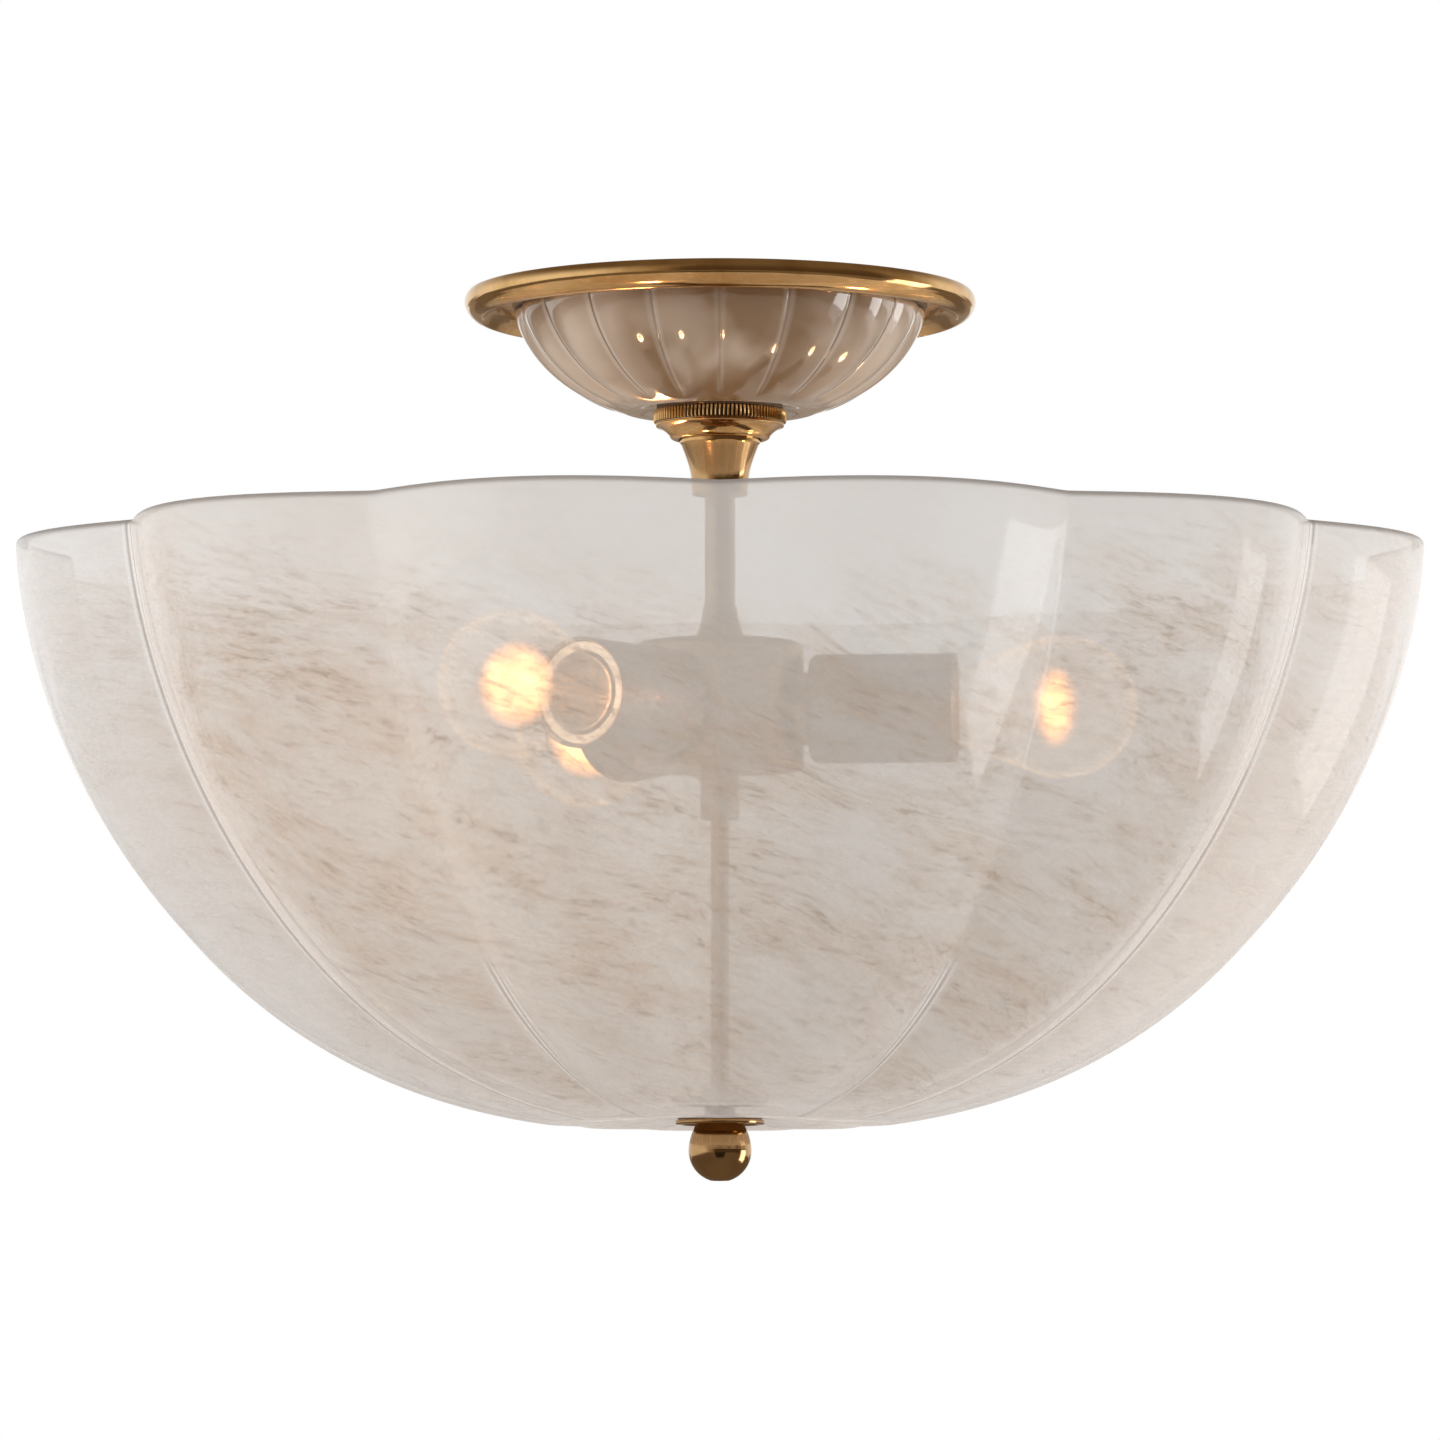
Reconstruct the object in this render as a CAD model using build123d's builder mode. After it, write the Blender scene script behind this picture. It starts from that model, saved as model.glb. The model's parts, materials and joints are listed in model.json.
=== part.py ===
from build123d import *
from dataclasses import dataclass
from math import asin, atan, cos, hypot, pi, sin, tan
import os

os.makedirs("parts", exist_ok=True)

# A semi-flush ceiling light of brass and pressed glass, in millimetres.
# The origin is on the ceiling and on the axis of the stem. +Z is up and the front is -Y.

# Pipe thread of the stem and what screws on it
pipe_radius = 5.1
pipe_bore = 3.3
pipe_hole = 5.15
nut_flats = 14.0
nut_height = 3.5
wire_radius = 0.8
wire_spacing = 3.0

# Strap against the ceiling, with its two slots for the box screws
strap_length = 112.0
strap_width = 22.0
strap_thickness = 2.0
slot_spacing = 88.9
slot_length = 12.0
slot_radius = 2.3
washer_thickness = 1.0
washer_radius = 8.6

# Earth screw and terminal block under the strap
ground_x = 20.0
ground_screw_radius = 1.95
ground_head_radius = 3.8
ground_head_height = 2.5
lug_radius = 4.2
lug_thickness = 0.8
block_near = -21.5
block_length = 14.5
block_width = 18.0
block_height = 11.0
pole_pitch = 6.0
pole_radius = 1.2
pole_depth = 8.5
pole_height = -9.5
clamp_screw_radius = 1.6
clamp_screw_x = -26.0
rivet_x = -32.5
rivet_radius = 1.2

# Open fitting between the two nipples, where the wires leave the stem
hickey_top = -8.0
hickey_radius = 9.0
hickey_boss = 7.0
hickey_window = 10.0
hickey_foot = 6.0
hickey_leg = 3.0
hickey_leg_width = 10.0

# Threaded collar and the turned neck under it
collar_radius = 13.9
collar_bottom = -47.5
neck_lip = 13.4
neck_bottom = -68.0

# Brass ring and its gaskets
ring_radius = 85.5
ring_seat = -4.2
ring_bore = 62.0
gasket_thickness = 0.8
seat_gasket_thickness = 0.6

# Knurled ring nut
nut_bore = 14.0
knurl_radius = 22.2
knurl_depth = 0.7
knurl_teeth = 100
knurl_top = -39.4
knurl_bottom = -44.15
knurl_chamfer = 0.6
skirt_shoulder = 21.1
skirt_radius = 15.3
skirt_bottom = -49.4

# Hub drum with its lid
socket_height = -140.0
socket_angles = [-126.0, -6.0, 114.0]
drum_radius = 28.0
drum_wall = 4.0
drum_roof = 3.0
drum_top = -117.5
drum_bottom = -158.0
drum_rounding = 2.5
lid_thickness = 2.0
spigot_height = 5.0
boss_radius = 12.0
boss_face = 30.5
spotface_radius = 9.0
spotface = 25.2
cone_height = 12.0
cone_radius = 9.3
terminal_half_width = 9.0
terminal_top = -134.0

# Lampholder, measured outwards from the axis of the stem
cup_radius = 18.2
cup_wall = 1.0
cup_back = 1.2
cup_mouth = 79.0
porcelain_radius = 16.8
porcelain_mouth = 77.0
chamber_radius = 11.0
chamber_start = 36.0
chamber_end = 43.0
cavity_radius = 13.9
cavity_start = 48.0
shell_radius = 13.8
shell_bore = 13.3
shell_mouth = 74.0
contact_face = 51.2
tail_start = 40.6
tail_offset = 6.0
tail_thickness = 0.8
tail_radius = 0.95
pin_radius = 1.2
contact_head = 3.0
shell_floor_hole = 5.0
shell_floor = 0.6
nipple_start = 19.0
nipple_end = 38.0

# Lamp
base_tip = 51.3
base_collar = 55.5
base_radius = 13.0
base_mouth = 77.5
base_ridges = 5
base_root = 12.4
base_bore = 11.7
base_floor = 57.0
contact_radius = 4.0
contact_height = 1.7
bulb_neck = 12.6
bulb_waist = 18.7
bulb_radius = 23.8
bulb_widest = 114.5
bulb_end = 139.3
bulb_wall = 0.8
lamp_stem_radius = 2.4
lamp_stem_end = 99.0
filament_root = 2.0
filament_reach = 111.0
filament_half = 8.0
filament_radius = 0.4

# Rod, clamp and ball under the large bowl
coupling_radius = 6.5
coupling_bottom = -176.8
rod_radius = 3.0
rod_socket = 11.0
rod_bottom = -289.0
shade_floor = -271.7
shade_gasket = 1.0
clamp_radius = 16.0
clamp_hole = 3.3
inner_washer_thickness = 1.5
stop_nut_flats = 11.0
stop_nut_height = 4.2
plate_radius = 14.8
plate_thickness = 1.0
plate_rim = 0.6
plate_hollow = 12.0
ball_radius = 10.5
ball_neck = 7.7
ball_height = -286.8

# Levels worked out from the sizes above
washer_top = -strap_thickness
top_nut_top = washer_top - washer_thickness
window_top = hickey_top - hickey_boss
window_bottom = window_top - hickey_window
hickey_bottom = window_bottom - hickey_foot
hub_floor = drum_top - drum_roof
lid_bottom = drum_bottom - lid_thickness
stud_top = drum_bottom + spigot_height
shade_seat = shade_floor - 4.0
plate_top = shade_seat - shade_gasket
plate_bottom = plate_top - plate_thickness
ball_top = plate_bottom


@dataclass(frozen=True)
class Bowl:
    """A lobed glass bowl, open at the top, that narrows to a flat foot."""

    lobes: int
    rim_height: float
    rim_radius: float
    depth: float
    depth_power: float
    side_power: float
    rim_pinch: float
    foot_pinch: float
    wall: float
    foot_height: float

    def turn(self, share):
        """Angle of the profile's parameter, a share of the way from the rim to the foot."""
        foot_share = (self.rim_height - self.foot_height) / self.depth
        return share * asin(foot_share ** (self.depth_power / 2))

    def drop(self, share):
        """Depth below the rim."""
        return self.depth * sin(self.turn(share)) ** (2 / self.depth_power)

    def radius(self, share):
        """Radius of the lobes' tips."""
        return self.rim_radius * cos(self.turn(share)) ** (2 / self.side_power)

    def pinch(self, share):
        """How far a valley lies inside the tips, as a part of their radius."""
        reach = self.drop(share) / (self.rim_height - self.foot_height)
        return self.rim_pinch + (self.foot_pinch - self.rim_pinch) * reach

    def slope(self, share):
        """How fast the radius changes with the depth."""
        fall = self.drop(share) / self.depth
        return (
            -self.rim_radius * self.depth_power / (self.side_power * self.depth)
            * fall ** (self.depth_power - 1)
            * (1 - fall**self.depth_power) ** (1 / self.side_power - 1)
        )

    def outer_sections(self, count):
        """Level sections of the outside, from the rim to the foot."""
        shares = [number / (count - 1) for number in range(count)]
        return [
            lobed_face(self.lobes, self.radius(share), self.pinch(share), self.rim_height - self.drop(share))
            for share in shares
        ]

    def inner_sections(self, count):
        """Level sections of the hollow, one wall inside the outside and open above the rim."""
        sections = [
            lobed_face(self.lobes, self.rim_radius - self.wall, self.rim_pinch, self.rim_height + self.wall)
        ]
        for number in range(count):
            share = number / (count - 1)
            lean = hypot(1, self.slope(share))
            height = self.rim_height - self.drop(share) - self.wall * self.slope(share) / lean
            tips = self.radius(share) - self.wall / lean
            sections.append(lobed_face(self.lobes, tips, self.pinch(share), height))
        return sections


shade = Bowl(
    lobes=12,
    rim_height=-88.3,
    rim_radius=237.5,
    depth=192.7,
    depth_power=1.715,
    side_power=2.542,
    rim_pinch=0.0762,
    foot_pinch=0.12,
    wall=4.0,
    foot_height=-277.8,
)
canopy = Bowl(
    lobes=18,
    rim_height=ring_seat - gasket_thickness,
    rim_radius=68.9,
    depth=38.0,
    depth_power=1.613,
    side_power=2.730,
    rim_pinch=0.02,
    foot_pinch=0.055,
    wall=3.5,
    foot_height=-40.2,
)
shade_dimple = 42.0
canopy_hole = 15.2
canopy_seat = knurl_top + seat_gasket_thickness


def keep(piece, name):
    """Label a finished piece and write it under its name."""
    piece.part.label = name
    export_step(piece.part, f"parts/{name}.step")


def lobed_face(lobes, tip_radius, pinch, height):
    """One level section of a bowl: a ring of rounded lobes with a sharp valley between each two."""
    half_angle = pi / lobes
    valley = tip_radius * (1 - pinch)
    lean = atan(lobes / 2 * pinch / (1 - pinch))
    end_out, end_side = valley * cos(half_angle), valley * sin(half_angle)
    bend_out = (8 * tip_radius - 2 * end_out) / 6
    bend_side = end_side - (bend_out - end_out) / tan(half_angle + lean)
    lobe = [(end_out, -end_side), (bend_out, -bend_side), (bend_out, bend_side), (end_out, end_side)]
    with BuildSketch(Plane.XY.offset(height)) as section:
        with BuildLine():
            for number in range(lobes):
                turn = (number + 0.5) * 360 / lobes - 90
                Bezier(*[Vector(*point).rotate(Axis.Z, turn) for point in lobe])
        make_face()
    return section.sketch


def tube(name, top, bottom, radius, bore):
    """A round tube or washer on the axis of the stem."""
    with BuildPart() as piece:
        with BuildSketch(Plane.XY.offset(bottom)):
            Circle(radius)
            Circle(bore, mode=Mode.SUBTRACT)
        extrude(amount=top - bottom)
    keep(piece, name)


def wire(name, points, bends):
    """A lead of straight runs joined by arcs."""
    with BuildPart() as piece:
        with BuildLine() as route:
            FilletPolyline(*points, radius=bends)
        with BuildSketch(Plane(origin=route.line @ 0, z_dir=route.line % 0)):
            Circle(wire_radius)
        sweep()
    swept = pi * wire_radius**2 * route.wires()[0].length
    print(name, "volume", round(piece.part.volume, 2), "section by length", round(swept, 2))
    keep(piece, name)


@dataclass(frozen=True)
class Seat:
    """Where a lampholder stands on the hub: a plane across its axis and one that holds it."""

    angle: float

    @property
    def outward(self):
        """Direction of the lampholder's axis."""
        return Vector(1, 0, 0).rotate(Axis.Z, self.angle)

    @property
    def sideways(self):
        """Level direction across the lampholder."""
        return Vector(0, 1, 0).rotate(Axis.Z, self.angle)

    @property
    def across(self):
        """Plane through the axis of the stem that faces along the lampholder."""
        return Plane(origin=(0, 0, socket_height), x_dir=self.sideways, z_dir=self.outward)

    @property
    def along(self):
        """Upright plane whose X runs along the lampholder."""
        return Plane(origin=(0, 0, socket_height), x_dir=self.outward, z_dir=-self.sideways)

    @property
    def axis(self):
        """The lampholder's axis."""
        return Axis((0, 0, socket_height), self.outward)


seats = [Seat(angle) for angle in socket_angles]

# Strap against the ceiling: the two slots stay empty for the screws of the ceiling box
with BuildPart() as mounting_strap:
    with BuildSketch(Plane.XY.offset(-strap_thickness)):
        SlotOverall(strap_length, strap_width)
        Circle(pipe_hole, mode=Mode.SUBTRACT)
        with Locations((-slot_spacing / 2, 0), (slot_spacing / 2, 0)):
            SlotOverall(slot_length, 2 * slot_radius, mode=Mode.SUBTRACT)
        with Locations((ground_x, 0)):
            Circle(ground_screw_radius, mode=Mode.SUBTRACT)
        with Locations((rivet_x, -pole_pitch / 2), (rivet_x, pole_pitch / 2)):
            Circle(rivet_radius, mode=Mode.SUBTRACT)
    extrude(amount=strap_thickness)
keep(mounting_strap, "mounting_strap")

# Earth screw with a crossed slot in its head
screw_head_bottom = -strap_thickness - lug_thickness - ground_head_height
with BuildPart() as ground_screw:
    with BuildSketch(Plane.XY.offset(screw_head_bottom)):
        with Locations((ground_x, 0)):
            Circle(ground_head_radius)
    extrude(amount=ground_head_height)
    fillet(ground_screw.edges().group_by(Axis.Z)[0], 1.0)
    with BuildSketch(Plane.XY.offset(screw_head_bottom)):
        with Locations((ground_x, 0)):
            Circle(ground_screw_radius)
    extrude(amount=-screw_head_bottom)
    with BuildSketch(Plane.XY.offset(screw_head_bottom)):
        with Locations((ground_x, 0)):
            Rectangle(5.0, 0.8)
            Rectangle(0.8, 5.0)
    extrude(amount=1.2, mode=Mode.SUBTRACT)
keep(ground_screw, "ground_screw")

# Earth lead with the lug under the screw's head
with BuildPart() as ground_lead:
    with BuildSketch(Plane.XY.offset(-strap_thickness - lug_thickness)):
        with Locations((ground_x, 0)):
            Circle(lug_radius)
            Circle(ground_screw_radius + 0.05, mode=Mode.SUBTRACT)
    extrude(amount=lug_thickness)
    with BuildLine() as ground_route:
        FilletPolyline(
            (ground_x - 1.4, -4.7, -3.2),
            (ground_x - 4.0, -9.0, -4.0),
            (9.0, -13.0, -6.5),
            (-5.0, -13.5, -8.0),
            (-15.0, -8.5, pole_height),
            (-20.0, -pole_pitch, pole_height),
            (block_near - 4.0, -pole_pitch, pole_height),
            radius=[4.0, 8.0, 12.0, 8.0, 4.0],
        )
    with BuildSketch(Plane(origin=ground_route.line @ 0, z_dir=ground_route.line % 0)):
        Circle(wire_radius)
    sweep()
keep(ground_lead, "ground_lead")

# Terminal block: three poles entered from the stem's side, with a clamp screw under each
block_bottom = -strap_thickness - block_height
clamp_places = [(clamp_screw_x, -pole_pitch), (clamp_screw_x, 0), (clamp_screw_x, pole_pitch)]
rivet_places = [(rivet_x, -pole_pitch / 2), (rivet_x, pole_pitch / 2)]
with BuildPart() as terminal_block:
    with BuildSketch(Plane.XY.offset(block_bottom)):
        with Locations((block_near - block_length / 2, 0)):
            RectangleRounded(block_length, block_width, 1.0)
        with Locations(*rivet_places):
            Circle(rivet_radius, mode=Mode.SUBTRACT)
    extrude(amount=block_height)
    with BuildSketch(Plane.YZ.offset(block_near)):
        with Locations((-pole_pitch, pole_height), (0, pole_height), (pole_pitch, pole_height)):
            Circle(pole_radius)
    extrude(amount=-pole_depth, mode=Mode.SUBTRACT)
    with BuildSketch(Plane.XY.offset(block_bottom)):
        with Locations(*clamp_places):
            Circle(clamp_screw_radius)
    extrude(amount=pole_height - block_bottom, mode=Mode.SUBTRACT)
keep(terminal_block, "terminal_block")

with BuildPart() as terminal_screws:
    with BuildSketch(Plane.XY.offset(block_bottom)):
        with Locations(*clamp_places):
            Circle(clamp_screw_radius)
    extrude(amount=pole_height - wire_radius - block_bottom)
    with BuildSketch(Plane.XY.offset(block_bottom)):
        with Locations(*clamp_places):
            Rectangle(2 * clamp_screw_radius, 0.6)
    extrude(amount=0.8, mode=Mode.SUBTRACT)
keep(terminal_screws, "terminal_screws")

with BuildPart() as block_rivets:
    with BuildSketch(Plane.XY.offset(block_bottom)):
        with Locations(*rivet_places):
            Circle(rivet_radius)
    extrude(amount=-block_bottom)
    with BuildSketch(Plane.XY.offset(block_bottom)):
        with Locations(*rivet_places):
            Circle(2 * rivet_radius)
    extrude(amount=-rivet_radius)
    fillet(block_rivets.edges().group_by(Axis.Z)[0], rivet_radius / 2)
keep(block_rivets, "block_rivets")

# Pipe thread parts on the axis, from the strap down to the hub
tube("lock_washer", washer_top, top_nut_top, washer_radius, pipe_hole)
tube("upper_nipple", 0.0, hickey_top - hickey_boss + 1.0, pipe_radius, pipe_bore)
tube("lower_nipple", window_bottom - 0.5, -40.3, pipe_radius, pipe_bore)
tube("stem_tube", -41.0, hub_floor - nut_height - 2.0, pipe_radius, pipe_bore)
tube("threaded_collar", hickey_bottom, collar_bottom, collar_radius, pipe_radius)

# Open fitting with two legs: the wires leave the stem between them
with BuildPart() as hickey:
    with BuildSketch(Plane.XY.offset(hickey_bottom)):
        Circle(hickey_radius)
    extrude(amount=hickey_top - hickey_bottom)
    fillet(hickey.edges().group_by(Axis.Z)[-1], 1.0)
    with BuildSketch(Plane.XY.offset(window_bottom)):
        Rectangle(3 * hickey_radius, 2 * (hickey_radius - hickey_leg))
        with Locations((hickey_radius, 0), (-hickey_radius, 0)):
            Rectangle(2 * hickey_radius - hickey_leg_width, 2 * hickey_radius)
    extrude(amount=hickey_window, mode=Mode.SUBTRACT)
    with BuildSketch(Plane.XY.offset(hickey_bottom)):
        Circle(pipe_radius)
    extrude(amount=hickey_top - hickey_bottom, mode=Mode.SUBTRACT)
keep(hickey, "hickey")

# Identical hexagon nuts: under the strap, under the hub's top, on its lid and inside each lampholder's seat
with BuildPart() as lock_nuts:
    for level in (top_nut_top, hub_floor, drum_bottom + nut_height):
        with BuildSketch(Plane.XY.offset(level - nut_height)):
            RegularPolygon(nut_flats / 2, 6, major_radius=False)
            Circle(pipe_radius, mode=Mode.SUBTRACT)
        extrude(amount=nut_height)
    for seat in seats:
        with BuildSketch(seat.across.offset(spotface - nut_height)):
            RegularPolygon(nut_flats / 2, 6, major_radius=False)
            Circle(pipe_radius, mode=Mode.SUBTRACT)
        extrude(amount=nut_height)
keep(lock_nuts, "lock_nuts")

# Turned neck: a lip under the ring nut, then a flare down to the pipe
with BuildPart() as neck:
    with BuildSketch(Plane.XZ):
        with BuildLine():
            Polyline((pipe_hole, collar_bottom), (neck_lip - 0.4, collar_bottom), (neck_lip, collar_bottom - 0.4))
            Line((neck_lip, collar_bottom - 0.4), (neck_lip, -50.6))
            Line((neck_lip, -50.6), (13.0, -51.0))
            Spline(
                (13.0, -51.0), (11.2, -55.8), (10.0, -60.0), (9.3, neck_bottom),
                tangents=[(-0.25, -1), (0, -1)],
            )
            Polyline((9.3, neck_bottom), (pipe_hole, neck_bottom), (pipe_hole, collar_bottom))
        make_face()
    revolve(axis=Axis.Z)
keep(neck, "neck")

# Brass ring against the ceiling: rounded outside, with a lip, a groove and the seat of the glass inside
with BuildPart() as canopy_ring:
    with BuildSketch(Plane.XZ):
        with BuildLine():
            Line((80.5, 0), (84.0, 0))
            ThreePointArc((84.0, 0), (ring_radius, -3.4), (84.6, -6.0))
            ThreePointArc((84.6, -6.0), (82.9, -8.0), (80.4, -9.0))
            ThreePointArc((80.4, -9.0), (79.7, -9.0), (79.3, -8.5))
            Polyline(
                (79.3, -8.5), (76.4, -6.2), (74.6, -5.6), (74.2, ring_seat), (ring_bore, ring_seat),
                (ring_bore, -2.2), (80.5, -2.2), (80.5, 0),
            )
        make_face()
    revolve(axis=Axis.Z)
keep(canopy_ring, "canopy_ring")

tube("ring_gasket", ring_seat, canopy.rim_height, 69.4, 64.9)
tube("canopy_gasket", canopy_seat, knurl_top, knurl_radius - 1.2, canopy_hole)

# Small fluted bowl, bored for the collar and faced flat for the ring nut
with BuildPart() as canopy_glass:
    loft(sections=canopy.outer_sections(9))
    loft(sections=canopy.inner_sections(9), mode=Mode.SUBTRACT)
    with BuildSketch(Plane.XY.offset(canopy_seat)):
        Circle(knurl_radius + 0.4)
    extrude(amount=canopy.foot_height - canopy_seat, mode=Mode.SUBTRACT)
    with BuildSketch(Plane.XY.offset(canopy.foot_height)):
        Circle(canopy_hole)
    extrude(amount=2 * canopy.wall, mode=Mode.SUBTRACT)
keep(canopy_glass, "canopy_glass")

# Ring nut: a toothed band with chamfered edges over a rounded skirt
with BuildPart() as ring_nut:
    with BuildSketch(Plane.XY.offset(knurl_bottom)):
        with BuildLine():
            pitch = 360 / knurl_teeth
            teeth = [
                Vector(radius, 0).rotate(Axis.Z, (number + step) * pitch)
                for number in range(knurl_teeth)
                for step, radius in ((0.0, knurl_radius), (0.5, knurl_radius - knurl_depth))
            ]
            Polyline(*teeth, close=True)
        make_face()
    extrude(amount=knurl_top - knurl_bottom)
    with BuildSketch(Plane.XZ):
        with BuildLine():
            Polyline(
                (0, knurl_bottom),
                (knurl_radius - knurl_depth, knurl_bottom),
                (knurl_radius, knurl_bottom + knurl_chamfer),
                (knurl_radius, knurl_top - knurl_chamfer),
                (knurl_radius - knurl_depth, knurl_top),
                (0, knurl_top),
                close=True,
            )
        make_face()
    revolve(axis=Axis.Z, mode=Mode.INTERSECT)
    with BuildSketch(Plane.XZ):
        with BuildLine():
            Line((0, knurl_bottom), (skirt_shoulder, knurl_bottom))
            ThreePointArc((skirt_shoulder, knurl_bottom), (21.5, -44.6), (20.9, -45.1))
            ThreePointArc((20.9, -45.1), (18.5, -46.4), (16.9, -48.1))
            ThreePointArc((16.9, -48.1), (16.2, -49.1), (skirt_radius, skirt_bottom))
            Polyline((skirt_radius, skirt_bottom), (0, skirt_bottom), (0, knurl_bottom))
        make_face()
    revolve(axis=Axis.Z)
    with BuildSketch(Plane.XY.offset(skirt_bottom)):
        Circle(nut_bore)
    extrude(amount=knurl_top - skirt_bottom, mode=Mode.SUBTRACT)
keep(ring_nut, "ring_nut")

# Cone that caps the hub round the pipe
with BuildPart() as hub_cone:
    with BuildSketch(Plane.XZ):
        with BuildLine():
            Polyline((5.8, drum_top + cone_height), (pipe_hole, drum_top + cone_height), (pipe_hole, drum_top))
            Line((pipe_hole, drum_top), (cone_radius, drum_top))
            ThreePointArc((cone_radius, drum_top), (7.0, drum_top + 5.0), (5.8, drum_top + cone_height))
        make_face()
    revolve(axis=Axis.Z)
keep(hub_cone, "hub_cone")

# Hub drum: open below, with a flat boss outside and a spotface inside for each lampholder
with BuildPart() as cluster_body:
    with BuildSketch(Plane.XY.offset(drum_bottom)):
        Circle(drum_radius)
    extrude(amount=drum_top - drum_bottom)
    fillet(cluster_body.edges().group_by(Axis.Z)[-1], drum_rounding)
    for seat in seats:
        with BuildSketch(seat.across):
            Circle(boss_radius)
        extrude(amount=boss_face)
    with BuildSketch(Plane.XY.offset(drum_bottom)):
        Circle(drum_radius - drum_wall)
    extrude(amount=hub_floor - drum_bottom, mode=Mode.SUBTRACT)
    with BuildSketch(Plane.XY.offset(hub_floor)):
        Circle(pipe_hole)
    extrude(amount=drum_top - hub_floor, mode=Mode.SUBTRACT)
    for seat in seats:
        with BuildSketch(seat.across):
            Circle(spotface_radius)
        extrude(amount=spotface, mode=Mode.SUBTRACT)
        with BuildSketch(seat.across):
            Circle(pipe_hole)
        extrude(amount=boss_face, mode=Mode.SUBTRACT)
keep(cluster_body, "cluster_body")

# Lid of the hub, with the spigot that screws into the drum
with BuildPart() as cluster_cover:
    with BuildSketch(Plane.XY.offset(lid_bottom)):
        Circle(drum_radius)
    extrude(amount=lid_thickness)
    fillet(cluster_cover.edges().group_by(Axis.Z)[0], 1.2)
    with BuildSketch(Plane.XY.offset(drum_bottom)):
        Circle(drum_radius - drum_wall)
        Circle(drum_radius - 2 * drum_wall, mode=Mode.SUBTRACT)
    extrude(amount=spigot_height)
    with BuildSketch(Plane.XY.offset(lid_bottom)):
        Circle(pipe_hole)
    extrude(amount=lid_thickness, mode=Mode.SUBTRACT)
keep(cluster_cover, "cluster_cover")

# Coupling under the lid: its stud goes up through the lid and the rod hangs from it
with BuildPart() as lower_coupling:
    with BuildSketch(Plane.XY.offset(coupling_bottom)):
        Circle(coupling_radius)
    extrude(amount=lid_bottom - coupling_bottom)
    chamfer(lower_coupling.edges().group_by(Axis.Z)[0], 0.8)
    with BuildSketch(Plane.XY.offset(lid_bottom)):
        Circle(pipe_radius)
    extrude(amount=stud_top - lid_bottom)
    with BuildSketch(Plane.XY.offset(coupling_bottom)):
        Circle(rod_radius)
    extrude(amount=rod_socket, mode=Mode.SUBTRACT)
keep(lower_coupling, "lower_coupling")

# Splice block that stands on the stud inside the hub, with a flat for each lampholder's leads
with BuildPart() as hub_terminal:
    with BuildSketch(Plane.XY.offset(stud_top)):
        RegularPolygon(terminal_half_width, 6, major_radius=False, rotation=socket_angles[0] + 30)
    extrude(amount=terminal_top - stud_top)
keep(hub_terminal, "hub_terminal")

# Leads of the stem: up its bore, out of the open fitting and into the terminal block
for name, side, pole in (("live_lead", 1, pole_pitch), ("neutral_lead", -1, 0.0)):
    start = side * wire_spacing / 2
    wire(
        name,
        [
            (0, start, terminal_top), (0, start, -23.0), (-19.0, pole, pole_height),
            (block_near - 4.0, pole, pole_height),
        ],
        [14.0, 5.0],
    )

# Lampholders, lamps and the leads to them
with BuildPart() as socket_nipples:
    for seat in seats:
        with BuildSketch(seat.across.offset(nipple_start)):
            Circle(pipe_radius)
            Circle(pipe_bore, mode=Mode.SUBTRACT)
        extrude(amount=nipple_end - nipple_start)
keep(socket_nipples, "socket_nipples")

for name, side in (("live_socket_leads", 1), ("neutral_socket_leads", -1)):
    with BuildPart() as leads:
        for seat in seats:
            with BuildSketch(seat.across.offset(terminal_half_width)):
                with Locations((side * wire_spacing / 2, 0)):
                    Circle(wire_radius)
            extrude(amount=tail_start - terminal_half_width)
    keep(leads, name)

# Centre contacts: a tail for the live lead, a pin through the porcelain and a wide head
with BuildPart() as centre_contacts:
    for seat in seats:
        with BuildSketch(seat.across.offset(tail_start)):
            with Locations((1.0, 0)):
                Rectangle(2.6, 2 * pin_radius)
        extrude(amount=tail_thickness)
        with BuildSketch(seat.across.offset(tail_start)):
            Circle(pin_radius)
        extrude(amount=contact_face - tail_start)
        with BuildSketch(seat.across.offset(contact_face)):
            Circle(contact_head)
        extrude(amount=-1.0)
keep(centre_contacts, "centre_contacts")


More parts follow.
